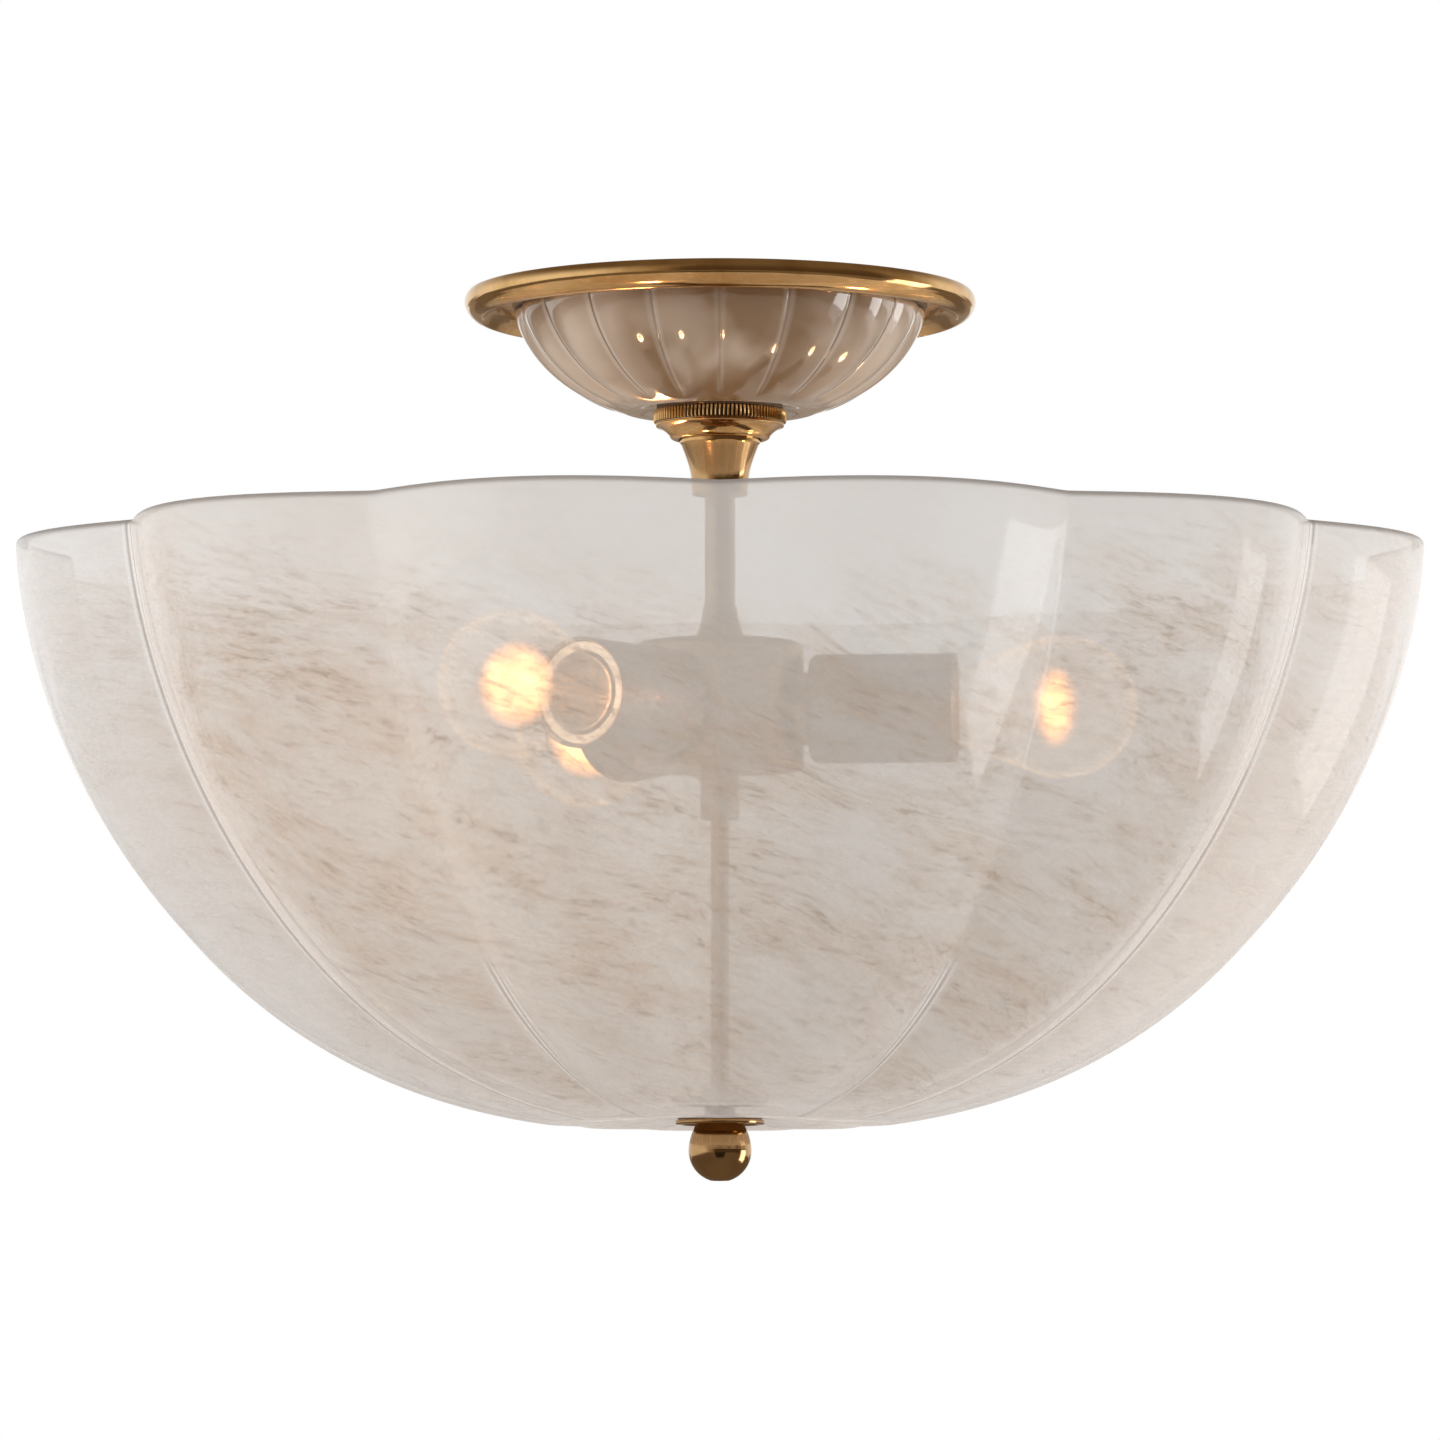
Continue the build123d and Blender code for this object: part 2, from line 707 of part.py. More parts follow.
def socket(number, seat):
    """Cup, porcelain and screw shell of one lampholder."""
    with BuildPart() as cup:
        with BuildSketch(seat.across.offset(boss_face)):
            Circle(cup_radius)
        extrude(amount=cup_mouth - boss_face)
        fillet(cup.edges().filter_by(GeomType.CIRCLE).sort_by(seat.axis)[0], 3.0)
        with BuildSketch(seat.across.offset(boss_face + cup_back)):
            Circle(cup_radius - cup_wall)
        extrude(amount=cup_mouth - boss_face - cup_back, mode=Mode.SUBTRACT)
        with BuildSketch(seat.across.offset(boss_face)):
            Circle(pipe_hole)
        extrude(amount=cup_back, mode=Mode.SUBTRACT)
    keep(cup, f"socket_cup_{number}")

    porcelain_back = boss_face + cup_back
    with BuildPart() as porcelain:
        with BuildSketch(seat.across.offset(porcelain_back)):
            Circle(porcelain_radius)
        extrude(amount=porcelain_mouth - porcelain_back)
        chamfer(porcelain.edges().filter_by(GeomType.CIRCLE).sort_by(seat.axis)[0], 2.4)
        with BuildSketch(seat.across.offset(cavity_start)):
            Circle(cavity_radius)
        extrude(amount=porcelain_mouth - cavity_start, mode=Mode.SUBTRACT)
        with BuildSketch(seat.across.offset(chamber_start)):
            Circle(chamber_radius)
        extrude(amount=chamber_end - chamber_start, mode=Mode.SUBTRACT)
        with BuildSketch(seat.across.offset(porcelain_back)):
            Circle(pipe_hole)
        extrude(amount=chamber_start - porcelain_back, mode=Mode.SUBTRACT)
        with BuildSketch(seat.across.offset(chamber_end)):
            Circle(pin_radius + 0.1)
            with Locations((-tail_offset, 0)):
                Circle(tail_radius + 0.05)
        extrude(amount=cavity_start - chamber_end, mode=Mode.SUBTRACT)
    keep(porcelain, f"socket_body_{number}")

    with BuildPart() as screw_shell:
        with BuildSketch(seat.across.offset(cavity_start)):
            Circle(shell_radius)
            Circle(shell_bore, mode=Mode.SUBTRACT)
        extrude(amount=shell_mouth - cavity_start)
        with BuildSketch(seat.across.offset(cavity_start)):
            Circle(shell_bore)
            Circle(shell_floor_hole, mode=Mode.SUBTRACT)
        extrude(amount=shell_floor)
        with BuildSketch(seat.across.offset(tail_start)):
            with Locations((-tail_offset, 0)):
                Circle(tail_radius)
        extrude(amount=cavity_start - tail_start)
        with BuildSketch(seat.across.offset(tail_start)):
            with Locations((-0.5 * (tail_offset + wire_spacing / 2), 0)):
                Rectangle(tail_offset - wire_spacing / 2, 2 * wire_radius)
        extrude(amount=shell_floor)
    keep(screw_shell, f"screw_shell_{number}")


def bulb_profile(seat, inset):
    """Half outline of a lamp's glass, closed on the lamp's axis and drawn in by an inset."""
    neck_radius = bulb_neck - inset
    waist = (base_mouth + bulb_widest) / 2
    with BuildSketch(seat.along) as outline:
        with BuildLine():
            Polyline((bulb_widest, 0), (base_mouth, 0), (base_mouth, neck_radius))
            Spline(
                (base_mouth, neck_radius), (waist, bulb_waist - inset), (bulb_widest, bulb_radius - inset),
                tangents=[(1, 0), (1, 0)],
            )
            EllipticalCenterArc((bulb_widest, 0), bulb_end - bulb_widest - inset, bulb_radius - inset, arc_size=90)
            Line((bulb_end - inset, 0), (bulb_widest, 0))
        make_face()
    return outline.sketch


def lamp(number, seat):
    """Screw base, glass and inner stem of one lamp."""
    ridge_pitch = (base_mouth - base_collar - 2.0) / base_ridges
    ridge_ends = [base_collar + ridge * ridge_pitch for ridge in range(base_ridges + 1)]
    with BuildPart() as base:
        with BuildSketch(seat.along):
            with BuildLine():
                Polyline(
                    (base_mouth, 0), (base_tip, 0), (base_tip, contact_radius),
                    (base_tip + contact_height, contact_radius), (base_collar, base_root),
                )
                for start, end in zip(ridge_ends, ridge_ends[1:]):
                    ThreePointArc((start, base_root), ((start + end) / 2, base_radius), (end, base_root))
                Polyline((ridge_ends[-1], base_root), (base_mouth, bulb_neck), (base_mouth, 0))
            make_face()
        revolve(axis=seat.axis)
        with BuildSketch(seat.across.offset(base_floor)):
            Circle(base_bore)
        extrude(amount=base_mouth - base_floor, mode=Mode.SUBTRACT)
    keep(base, f"bulb_base_{number}")

    with BuildPart() as glass:
        revolve(bulb_profile(seat, 0.0), axis=seat.axis)
        revolve(bulb_profile(seat, bulb_wall), axis=seat.axis, mode=Mode.SUBTRACT)
        with BuildSketch(seat.across.offset(base_mouth)):
            Circle(bulb_neck - bulb_wall)
        extrude(amount=bulb_wall, mode=Mode.SUBTRACT)
    keep(glass, f"bulb_glass_{number}")

    with BuildPart() as filament:
        with BuildSketch(seat.across.offset(base_floor)):
            Circle(lamp_stem_radius)
        extrude(amount=lamp_stem_end - base_floor)
        with BuildLine(seat.along) as filament_route:
            FilletPolyline(
                (lamp_stem_end - filament_root, -lamp_stem_radius / 2),
                (filament_reach, -filament_half),
                (filament_reach, filament_half),
                (lamp_stem_end - filament_root, lamp_stem_radius / 2),
                radius=3.0,
            )
        with BuildSketch(Plane(origin=filament_route.line @ 0, z_dir=filament_route.line % 0)):
            Circle(filament_radius)
        sweep()
    keep(filament, f"bulb_filament_{number}")


for number, seat in enumerate(seats, start=1):
    socket(number, seat)
    lamp(number, seat)

# Large lobed bowl: its middle is pressed up into a shallow dimple round the rod's hole
inner_foot = shade.foot_height + shade.wall
with BuildPart() as shade_glass:
    loft(sections=shade.outer_sections(11))
    loft(sections=shade.inner_sections(11), mode=Mode.SUBTRACT)
    with BuildSketch(Plane.XZ):
        with BuildLine():
            Polyline((0, inner_foot - 1.0), (0, shade_floor), (clamp_radius, shade_floor))
            Line((clamp_radius, shade_floor), (shade_dimple, inner_foot))
            Polyline((shade_dimple, inner_foot), (shade_dimple, inner_foot - 1.0), (0, inner_foot - 1.0))
        make_face()
    revolve(axis=Axis.Z)
    with BuildSketch(Plane.XZ):
        with BuildLine():
            Polyline(
                (0, shade.foot_height - 1.0), (0, shade_seat), (clamp_radius, shade_seat),
                (shade_dimple, shade.foot_height), (shade_dimple, shade.foot_height - 1.0),
                close=True,
            )
        make_face()
    revolve(axis=Axis.Z, mode=Mode.SUBTRACT)
    with BuildSketch(Plane.XY.offset(shade_seat)):
        Circle(pipe_radius)
    extrude(amount=shade.wall, mode=Mode.SUBTRACT)
keep(shade_glass, "shade_glass")

# Rod through the bowl and the pieces that clamp the glass on it
tube("inner_washer", shade_floor + shade_gasket + inner_washer_thickness, shade_floor + shade_gasket,
     clamp_radius, clamp_hole)
tube("upper_gasket", shade_floor + shade_gasket, shade_floor, clamp_radius - 1.0, clamp_hole)
tube("lower_gasket", shade_seat, plate_top, plate_radius - 0.8, clamp_hole)

with BuildPart() as lower_rod:
    with BuildSketch(Plane.XY.offset(rod_bottom)):
        Circle(rod_radius)
    extrude(amount=coupling_bottom + rod_socket - rod_bottom)
    chamfer(lower_rod.edges().group_by(Axis.Z)[0], 0.6)
keep(lower_rod, "lower_rod")

stop_nut_bottom = shade_floor + shade_gasket + inner_washer_thickness
with BuildPart() as stop_nut:
    with BuildSketch(Plane.XY.offset(stop_nut_bottom)):
        RegularPolygon(stop_nut_flats / 2, 6, major_radius=False)
        Circle(rod_radius, mode=Mode.SUBTRACT)
    extrude(amount=stop_nut_height)
keep(stop_nut, "stop_nut")

# Thin brass dish under the bowl, hollow below and turned down at its edge
with BuildPart() as bottom_plate:
    with BuildSketch(Plane.XY.offset(plate_top)):
        Circle(plate_radius)
    extrude(amount=plate_bottom - plate_rim - plate_top)
    fillet(bottom_plate.edges(), 0.6)
    with BuildSketch(Plane.XY.offset(plate_bottom)):
        Circle(plate_hollow)
    extrude(amount=-plate_rim, mode=Mode.SUBTRACT)
    with BuildSketch(Plane.XY.offset(plate_bottom)):
        Circle(clamp_hole)
    extrude(amount=plate_thickness, mode=Mode.SUBTRACT)
keep(bottom_plate, "bottom_plate")

# Ball: a half sphere below and a taller half above, bored for the rod
with BuildPart() as ball_finial:
    with BuildSketch(Plane.XZ):
        with BuildLine():
            CenterArc((0, ball_height), ball_radius, -90, 90)
            Spline((ball_radius, ball_height), (ball_neck, ball_top), tangents=[(0, 1), (-0.75, 1)])
            Polyline((ball_neck, ball_top), (0, ball_top), (0, ball_height - ball_radius))
        make_face()
    revolve(axis=Axis.Z)
    with BuildSketch(Plane.XY.offset(rod_bottom - 1.0)):
        Circle(rod_radius + 0.08)
    extrude(amount=ball_top - rod_bottom + 1.0, mode=Mode.SUBTRACT)
keep(ball_finial, "ball_finial")
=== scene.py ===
"""Looks of a semi-flush ceiling light: brass canopy, fluted glass, lobed glass bowl, lamps and ball finial.

The scene is in metres, and sizes of pieces are in millimetres. The origin is on the ceiling, on the axis of the
stem. +Z is up and the front is -Y. SLIP_BORE is the bore of what slips over the pipe, and SOCKET_ANGLES are the
lampholders' angles round the stem, in degrees.
"""

from __future__ import annotations

import json
import logging
import math
from dataclasses import dataclass, field
from enum import Enum
from functools import reduce
from typing import Any, Callable

import bpy
import numpy as np
from mathutils import Matrix, Vector

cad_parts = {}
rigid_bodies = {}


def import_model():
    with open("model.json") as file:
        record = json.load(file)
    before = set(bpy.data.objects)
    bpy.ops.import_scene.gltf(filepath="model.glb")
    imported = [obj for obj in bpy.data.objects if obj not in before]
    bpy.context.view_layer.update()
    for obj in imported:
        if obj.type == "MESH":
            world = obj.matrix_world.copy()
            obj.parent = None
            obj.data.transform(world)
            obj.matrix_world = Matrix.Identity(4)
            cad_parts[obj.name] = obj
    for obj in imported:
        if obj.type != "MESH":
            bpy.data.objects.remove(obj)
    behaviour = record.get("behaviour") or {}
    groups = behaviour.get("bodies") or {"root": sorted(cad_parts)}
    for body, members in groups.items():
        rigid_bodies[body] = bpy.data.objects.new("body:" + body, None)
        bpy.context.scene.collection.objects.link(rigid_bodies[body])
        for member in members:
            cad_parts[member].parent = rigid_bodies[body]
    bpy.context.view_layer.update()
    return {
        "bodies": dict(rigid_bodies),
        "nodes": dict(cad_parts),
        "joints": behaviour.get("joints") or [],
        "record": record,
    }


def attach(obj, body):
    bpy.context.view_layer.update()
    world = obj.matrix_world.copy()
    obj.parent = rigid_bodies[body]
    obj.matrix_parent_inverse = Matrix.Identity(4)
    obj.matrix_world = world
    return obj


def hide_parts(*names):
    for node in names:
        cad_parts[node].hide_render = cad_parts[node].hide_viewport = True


LOG = logging.getLogger("ceiling_light")
Triple = tuple[float, float, float]
Pair = tuple[float, float]
Outline = list[Pair]
Socket = bpy.types.NodeSocket
Material = bpy.types.Material
Piece = bpy.types.Object
Weights = list[tuple[Socket, float]]
MM = 0.001
SLIP_BORE = 5.15
SOCKET_ANGLES = (-126.0, -6.0, 114.0)


class Graph:
    """Builds one node tree: it makes nodes, sets their sockets and joins them."""

    def __init__(self, tree: bpy.types.NodeTree) -> None:
        """Empties the tree.

        Args:
            tree: node tree of a material, a world or a geometry group.
        """
        self.tree = tree
        tree.nodes.clear()

    def add(self, kind: str, sockets: dict[Any, Any] | None = None, **settings: Any) -> bpy.types.Node:
        """Makes a node.

        Args:
            kind: Blender's name of the node.
            sockets: a value, or the socket to join, for each input.
            settings: the node's own properties.

        Returns:
            The new node.
        """
        node = self.tree.nodes.new(kind)
        for name, value in settings.items():
            setattr(node, name, value)
        for key, value in (sockets or {}).items():
            if isinstance(value, Socket):
                self.tree.links.new(value, node.inputs[key])
            else:
                node.inputs[key].default_value = value
        return node

    def math(self, operation: str, first: Any, second: Any = 0.0, clamp: bool = False) -> Socket:
        """Returns the result of a Math node on one or two numbers."""
        sockets = {0: first, 1: second}
        return self.add("ShaderNodeMath", sockets, operation=operation, use_clamp=clamp).outputs[0]

    def product(self, *values: Any) -> Socket:
        """Returns the product of numbers."""
        return reduce(lambda first, second: self.math("MULTIPLY", first, second), values)

    def total(self, *values: Any, clamp: bool = False) -> Socket:
        """Returns the sum of numbers, with each step held within 0 to 1 if asked."""
        return reduce(lambda first, second: self.math("ADD", first, second, clamp), values)

    def place(self) -> Socket:
        """Returns the surface point in the object's own coordinates."""
        return self.add("ShaderNodeTexCoord").outputs["Object"]

    def parts(self, vector: Socket) -> Any:
        """Returns the outputs X, Y and Z of a vector."""
        return self.add("ShaderNodeSeparateXYZ", {0: vector}).outputs

    def reach(self, parts: Any) -> Socket:
        """Returns the distance from the stem of a point given by its parts."""
        return self.math("SQRT", self.total(*(self.product(parts[axis], parts[axis]) for axis in "XY")))

    def across(self, parts: Any) -> Socket:
        """Returns 0 in front of the stem and behind it, rising to 1 at its sides."""
        return self.math("DIVIDE", self.math("ABSOLUTE", parts["X"]), self.reach(parts))

    def facing(self, blend: float) -> Socket:
        """Returns 0 where the surface faces the viewer, rising to 1 at its outline."""
        return self.add("ShaderNodeLayerWeight", {"Blend": blend}).outputs["Facing"]

    def valleys(self, parts: Any, lobes: Any) -> Socket:
        """Returns a signed wave round the stem, 0 in the valleys, one of which is in front."""
        angle = self.math("ARCTAN2", parts["X"], self.product(parts["Y"], -1.0))
        return self.math("SINE", self.product(angle, self.product(lobes, 0.5)))

    def flow(self, vector: Any, flat: float, lean: float, wide: float = 1.0) -> Socket:
        """Returns a vector turned about Y in radians, then scaled by flat along Z and by wide across it."""
        turned = self.add("ShaderNodeMapping", {"Vector": vector, "Rotation": (0.0, lean, 0.0)}).outputs[0]
        return self.add("ShaderNodeMapping", {"Vector": turned, "Scale": (wide, wide, flat)}).outputs[0]

    def noise(self, vector: Any, scale: float, detail: float = 3.0, rough: float = 0.5) -> Socket:
        """Returns a noise from 0 to 1."""
        sockets = {"Vector": vector, "Scale": scale, "Detail": detail, "Roughness": rough}
        return self.add("ShaderNodeTexNoise", sockets).outputs[0]

    def wander(self, vector: Any, scale: float, reach: float) -> Socket:
        """Pushes a vector about by a slow noise.

        Args:
            vector: what is pushed.
            scale: scale of the noise.
            reach: about twice the farthest push.

        Returns:
            The pushed vector.
        """
        push = self.add("ShaderNodeTexNoise", {"Vector": vector, "Scale": scale, "Detail": 2.0}).outputs[1]
        steps = (("SUBTRACT", 1, (0.5, 0.5, 0.5)), ("SCALE", "Scale", reach), ("ADD", 1, vector))
        for operation, key, value in steps:
            push = self.add("ShaderNodeVectorMath", {0: push, key: value}, operation=operation).outputs[0]
        return push

    def span(self, value: Any, low: float, high: float, start: float = 0.0, end: float = 1.0) -> Socket:
        """Returns the value carried smoothly from low..high to start..end, and held beyond them."""
        sockets = {"Value": value, "From Min": low, "From Max": high, "To Min": start, "To Max": end}
        return self.add("ShaderNodeMapRange", sockets, interpolation_type="SMOOTHSTEP").outputs[0]

    def blend(self, share: Any, first: Any, second: Any) -> Socket:
        """Mixes two colours, each given as numbers or as a socket.

        Args:
            share: how much of the second one shows, from 0 to 1.
            first: the first colour.
            second: the second colour.

        Returns:
            The mix.
        """
        node = self.add("ShaderNodeMix", {"Factor": share}, data_type="RGBA")
        for index, colour in ((6, first), (7, second)):
            if isinstance(colour, Socket):
                self.tree.links.new(colour, node.inputs[index])
            else:
                node.inputs[index].default_value = (*colour, 1.0)
        return node.outputs[2]

    def layers(self, base: Any, *layers: tuple[Any, Any]) -> Socket:
        """Returns a colour with others laid over it in turn, each given as its share and itself."""
        return reduce(lambda under, layer: self.blend(layer[0], under, layer[1]), layers, base)

    def mix(self, share: Any, first: Any, second: Any) -> Socket:
        """Returns a mix of two shaders."""
        return self.add("ShaderNodeMixShader", {0: share, 1: first, 2: second}).outputs[0]

    def clear(self, colour: Triple = (1.0, 1.0, 1.0)) -> Socket:
        """Returns a shader that lets light through, tinted."""
        return self.add("ShaderNodeBsdfTransparent", {"Color": (*colour, 1.0)}).outputs[0]

    def rays(self) -> Any:
        """Returns the outputs that tell what kind of ray has come."""
        return self.add("ShaderNodeLightPath").outputs

    def bump(self, height: Any, distance: float, strength: float) -> Socket:
        """Returns a normal bumped by a height."""
        sockets = {"Height": height, "Distance": distance, "Strength": strength}
        return self.add("ShaderNodeBump", sockets).outputs[0]

    def glass(self, colour: Any, normal: Socket, rough: float, coat: float) -> Socket:
        """Returns a shader of glossy glass under a clear coat."""
        coats = {"Coat_Weight": coat, "Coat_Roughness": 0.02}
        return self.surface(colour, Roughness=rough, IOR=1.5, Normal=normal, **coats)

    def surface(self, colour: Any, **sockets: Any) -> Socket:
        """Makes a Principled shader.

        Args:
            colour: base colour, as numbers or a socket.
            sockets: other inputs, with an underscore for each space in their names.

        Returns:
            The shader.
        """
        base = colour if isinstance(colour, Socket) else (*colour, 1.0)
        named = {name.replace("_", " "): value for name, value in sockets.items()}
        return self.add("ShaderNodeBsdfPrincipled", {"Base Color": base, **named}).outputs[0]

    def finish(self, shader: Socket) -> None:
        """Joins a shader to the material's output."""
        self.add("ShaderNodeOutputMaterial", {"Surface": shader})


def new_material(name: str) -> tuple[Material, Graph]:
    """Returns an empty node material and the graph that builds it."""
    material = bpy.data.materials.new(name)
    material.use_nodes = True
    return material, Graph(material.node_tree)


@dataclass(frozen=True)
class Brass:
    """Turned brass, polished or satin, with brown clouds, marks of the lathe, a darker tone below a level and
    painted shade in the gaps of the knurl.
    """

    name: str
    bright: Triple
    aged: Triple
    gloss: float
    haze: float
    marks: float = 0.00002
    # colour, heights and share of a darker tone on the brass below a level
    lower_tone: Triple = (0.40, 0.25, 0.13)
    lower_tone_levels: Pair = (-0.0495, -0.0530)
    lower_tone_share: float = 0.6
    # colour of the painted shade between the teeth of the knurl
    painted_knurl_shade: Triple = (0.12, 0.07, 0.035)
    knurl_floor: float = 0.0216
    knurl_crest: float = 0.0220
    knurl_levels: Pair = (-0.0440, -0.0395)

    def make(self) -> Material:
        """Returns the material."""
        material, graph = new_material(self.name)
        place = graph.place()
        parts = graph.parts(place)
        cloud = graph.noise(graph.wander(place, 20.0, 0.02), 60.0, 4.0, 0.6)
        # Painted shade: the floor between the knurl's teeth is darkened and roughened.
        painted_knurl_shade = self.find_knurl_gaps(graph, parts)
        worn = graph.span(cloud, 0.40, 0.68)
        # Darker towards the bottom: the brass below the ring nut takes on a darker tone.
        lower_tone = graph.span(parts["Z"], *self.lower_tone_levels, 0.0, self.lower_tone_share)
        colour = graph.layers(self.bright, (worn, self.aged), (lower_tone, self.lower_tone), (painted_knurl_shade, self.painted_knurl_shade))
        haze = graph.span(cloud, 0.3, 0.75, 0.0, self.haze)
        rough = graph.total(haze, self.gloss, graph.product(painted_knurl_shade, 0.3))
        turning = {"W": parts["Z"], "Scale": 2600.0, "Detail": 2.0}
        rings = graph.add("ShaderNodeTexNoise", turning, noise_dimensions="1D").outputs[0]
        height = graph.total(rings, graph.product(graph.noise(place, 900.0, 2.0), 0.25))
        normal = graph.bump(height, self.marks, 0.5)
        graph.finish(graph.surface(colour, Metallic=1.0, Roughness=rough, Normal=normal))
        return material

    def find_knurl_gaps(self, graph: Graph, parts: Any) -> Socket:
        """Finds the floor between the teeth of the knurl, where shade is painted.

        Args:
            graph: builder of the tree.
            parts: the parts of the surface point.

        Returns:
            1 between the teeth, and 0 elsewhere.
        """
        reach = graph.reach(parts)
        low, high = self.knurl_levels
        limits = ((parts["Z"], low), (high, parts["Z"]), (reach, self.knurl_floor - MM))
        inside = graph.product(*(graph.math("GREATER_THAN", *limit) for limit in limits))
        return graph.product(inside, graph.span(reach, self.knurl_crest, self.knurl_floor))


@dataclass(frozen=True)
class BowlGlass:
    """Milky glass with beige clouds, folds and fine fibres, clear enough to hint at what is behind it."""

    name: str
    milk: Triple = (0.745, 0.725, 0.70)
    beige: Triple = (0.68, 0.59, 0.51)
    # colour of the brown fibres, and of the painted dark lines in the valleys
    dark: Triple = (0.42, 0.35, 0.29)
    # colour of the painted dark line along the front of the rim
    edge: Triple = (0.36, 0.33, 0.31)
    # colour of the painted sheen on the sides and of the painted highlight bands beside the valleys
    band: Triple = (0.88, 0.88, 0.88)
    # colour of the painted sheen at the outline and of the painted pale lines in the valleys
    pale: Triple = (0.97, 0.97, 0.98)
    shadow: Triple = (0.66, 0.65, 0.64)
    lobes: int = 12
    rim_level: float = -0.0883
    cloud_noise: Triple = (20.0, 9.0, 0.77)
    cloud_flow: Pair = (2.4, -0.40)
    fold_noise: Triple = (6.0, 6.0, 0.55)
    fold_flow: Pair = (6.0, -0.40)
    fibre_noise: Triple = (95.0, 6.0, 0.80)
    fibre_flow: Pair = (4.6, -0.30)
    cover: float = 0.51
    translucence: float = 0.45

    def make(self) -> Material:
        """Returns the material."""
        material, graph = new_material(self.name)
        place = graph.place()
        parts = graph.parts(place)
        fall = graph.math("SUBTRACT", self.rim_level, parts["Z"])
        drift = graph.wander(place, 9.0, 0.035)
        body, cover, weights = self.streaks(graph, drift, parts, fall)
        body, edges = self.creases(graph, parts, fall, body)
        for part, weight in (*weights, *edges):
            cover = graph.total(cover, graph.product(part, weight), clamp=True)
        normal = graph.bump(graph.noise(place, 26.0, 1.0), 0.0010, 0.30)
        skin = graph.glass(body, normal, 0.06, 0.4)
        glow = graph.add("ShaderNodeBsdfTranslucent", {"Color": body}).outputs[0]
        wall = graph.mix(cover, graph.clear(), graph.mix(self.translucence, skin, glow))
        graph.finish(graph.mix(graph.rays()["Is Shadow Ray"], wall, graph.clear(self.shadow)))
        return material

    def streaks(
        self, graph: Graph, drift: Socket, parts: Any, fall: Socket
    ) -> tuple[Socket, Socket, Weights]:
        """Lays clouds, folds and fibres into the milk.

        Args:
            graph: builder of the tree.
            drift: the surface point, pushed about.
            parts: the parts of the surface point.
            fall: its depth below the rim.

        Returns:
            The colour, the even cover of the glass, and the patterns that change the cover.
        """
        cloud = graph.noise(graph.flow(drift, *self.cloud_flow), *self.cloud_noise)
        fold = graph.span(graph.noise(graph.flow(drift, *self.fold_flow), *self.fold_noise), 0.585, 0.66)
        fibre = graph.noise(graph.flow(drift, *self.fibre_flow), *self.fibre_noise)
        behind = graph.product(graph.math("MAXIMUM", parts["Y"], 0.0), -0.35)
        aside = graph.product(graph.math("ABSOLUTE", parts["X"]), 0.22)
        depth = graph.span(graph.total(fall, aside, behind), 0.028, 0.075, 0.14, 1.0)
        patch = graph.product(graph.span(cloud, 0.38, 0.62), depth)
        shade = graph.total(graph.product(patch, 0.80), graph.product(fold, 0.40, depth), clamp=True)
        thick = graph.product(graph.span(cloud, 0.38, 0.62, 0.40, 1.0), depth)
        hair = graph.product(graph.span(fibre, 0.505, 0.66), thick)
        light = graph.product(graph.span(fibre, 0.49, 0.36), thick)
        pale, brown = graph.product(light, 0.8), graph.product(hair, 0.75)
        body = graph.layers(self.milk, (shade, self.beige), (pale, self.milk), (brown, self.dark))
        cover = graph.total(graph.product(shade, 0.08), self.cover)
        return body, cover, [(hair, 0.30), (light, -0.12)]

    def creases(self, graph: Graph, parts: Any, fall: Socket, body: Socket) -> tuple[Socket, Weights]:
        """Paints light and shade: painted sheen pales the sides and the outline, painted highlight bands lie
        beside the valleys, painted pale and dark lines run along them, and a painted dark line runs along the
        front of the rim.

        Args:
            graph: builder of the tree.
            parts: the parts of the surface point.
            fall: its depth below the rim.
            body: the streaked colour.

        Returns:
            The colour, and the patterns that change the cover.
        """
        across = graph.across(parts)
        # Where the valleys turn away from the front, at the sides and low down, painted light and shade are
        # laid along them.
        turned = graph.span(graph.total(across, graph.span(fall, 0.13, 0.16, 0.0, 0.40)), 0.60, 0.82)
        # Painted sheen: the glass is paled and covers more towards its outline.
        skirt = graph.span(graph.facing(0.35), 0.36, 0.90)
        wave = graph.math("ABSOLUTE", graph.valleys(parts, self.lobes))
        # Painted highlight: pale bands beside the valleys.
        band = graph.product(graph.span(wave, 0.20, 0.04, 0.0, 0.9), turned)
        # Painted highlight and painted shade: a thin pale line and a thin dark line along each valley.
        painted_valley_lines = graph.math("COSINE", graph.product(wave, 75.0))
        painted_valley_lines = graph.product(painted_valley_lines, turned, graph.span(wave, 0.15, 0.02))
        # Painted shade: a thin dark line along the front of the rim, which also covers more.
        rim = graph.product(graph.span(fall, 0.0022, 0.0008), graph.span(parts["Y"], 0.12, 0.0, 0.0, 0.9))
        # Painted sheen: the sides, as seen from the front, are paled.
        side = graph.span(across, 0.80, 0.95, 0.0, 0.65)
        # Painted light: the outline's sheen and the pale lines in the valleys.
        light = graph.math("MAXIMUM", skirt, painted_valley_lines)
        # Painted shade: the dark lines in the valleys.
        dark = graph.math("MAXIMUM", graph.product(painted_valley_lines, -0.8), 0.0)
        # The painted sheen and highlight bands go in sides; the painted pale and dark lines go in marks.
        sides, marks = ((side, self.band), (band, self.band)), ((light, self.pale), (dark, self.dark))
        clear = graph.product(graph.span(parts["Y"], 0.0, 0.12), graph.span(fall, 0.060, 0.0))
        # The painted lines in the valleys also make the glass cover more.
        line = graph.math("ABSOLUTE", painted_valley_lines)
        weights = [(skirt, 0.25), (band, 0.12), (rim, 0.30), (clear, -0.32), (line, 0.30)]
        return graph.layers(body, *sides, *marks, (rim, self.edge)), weights


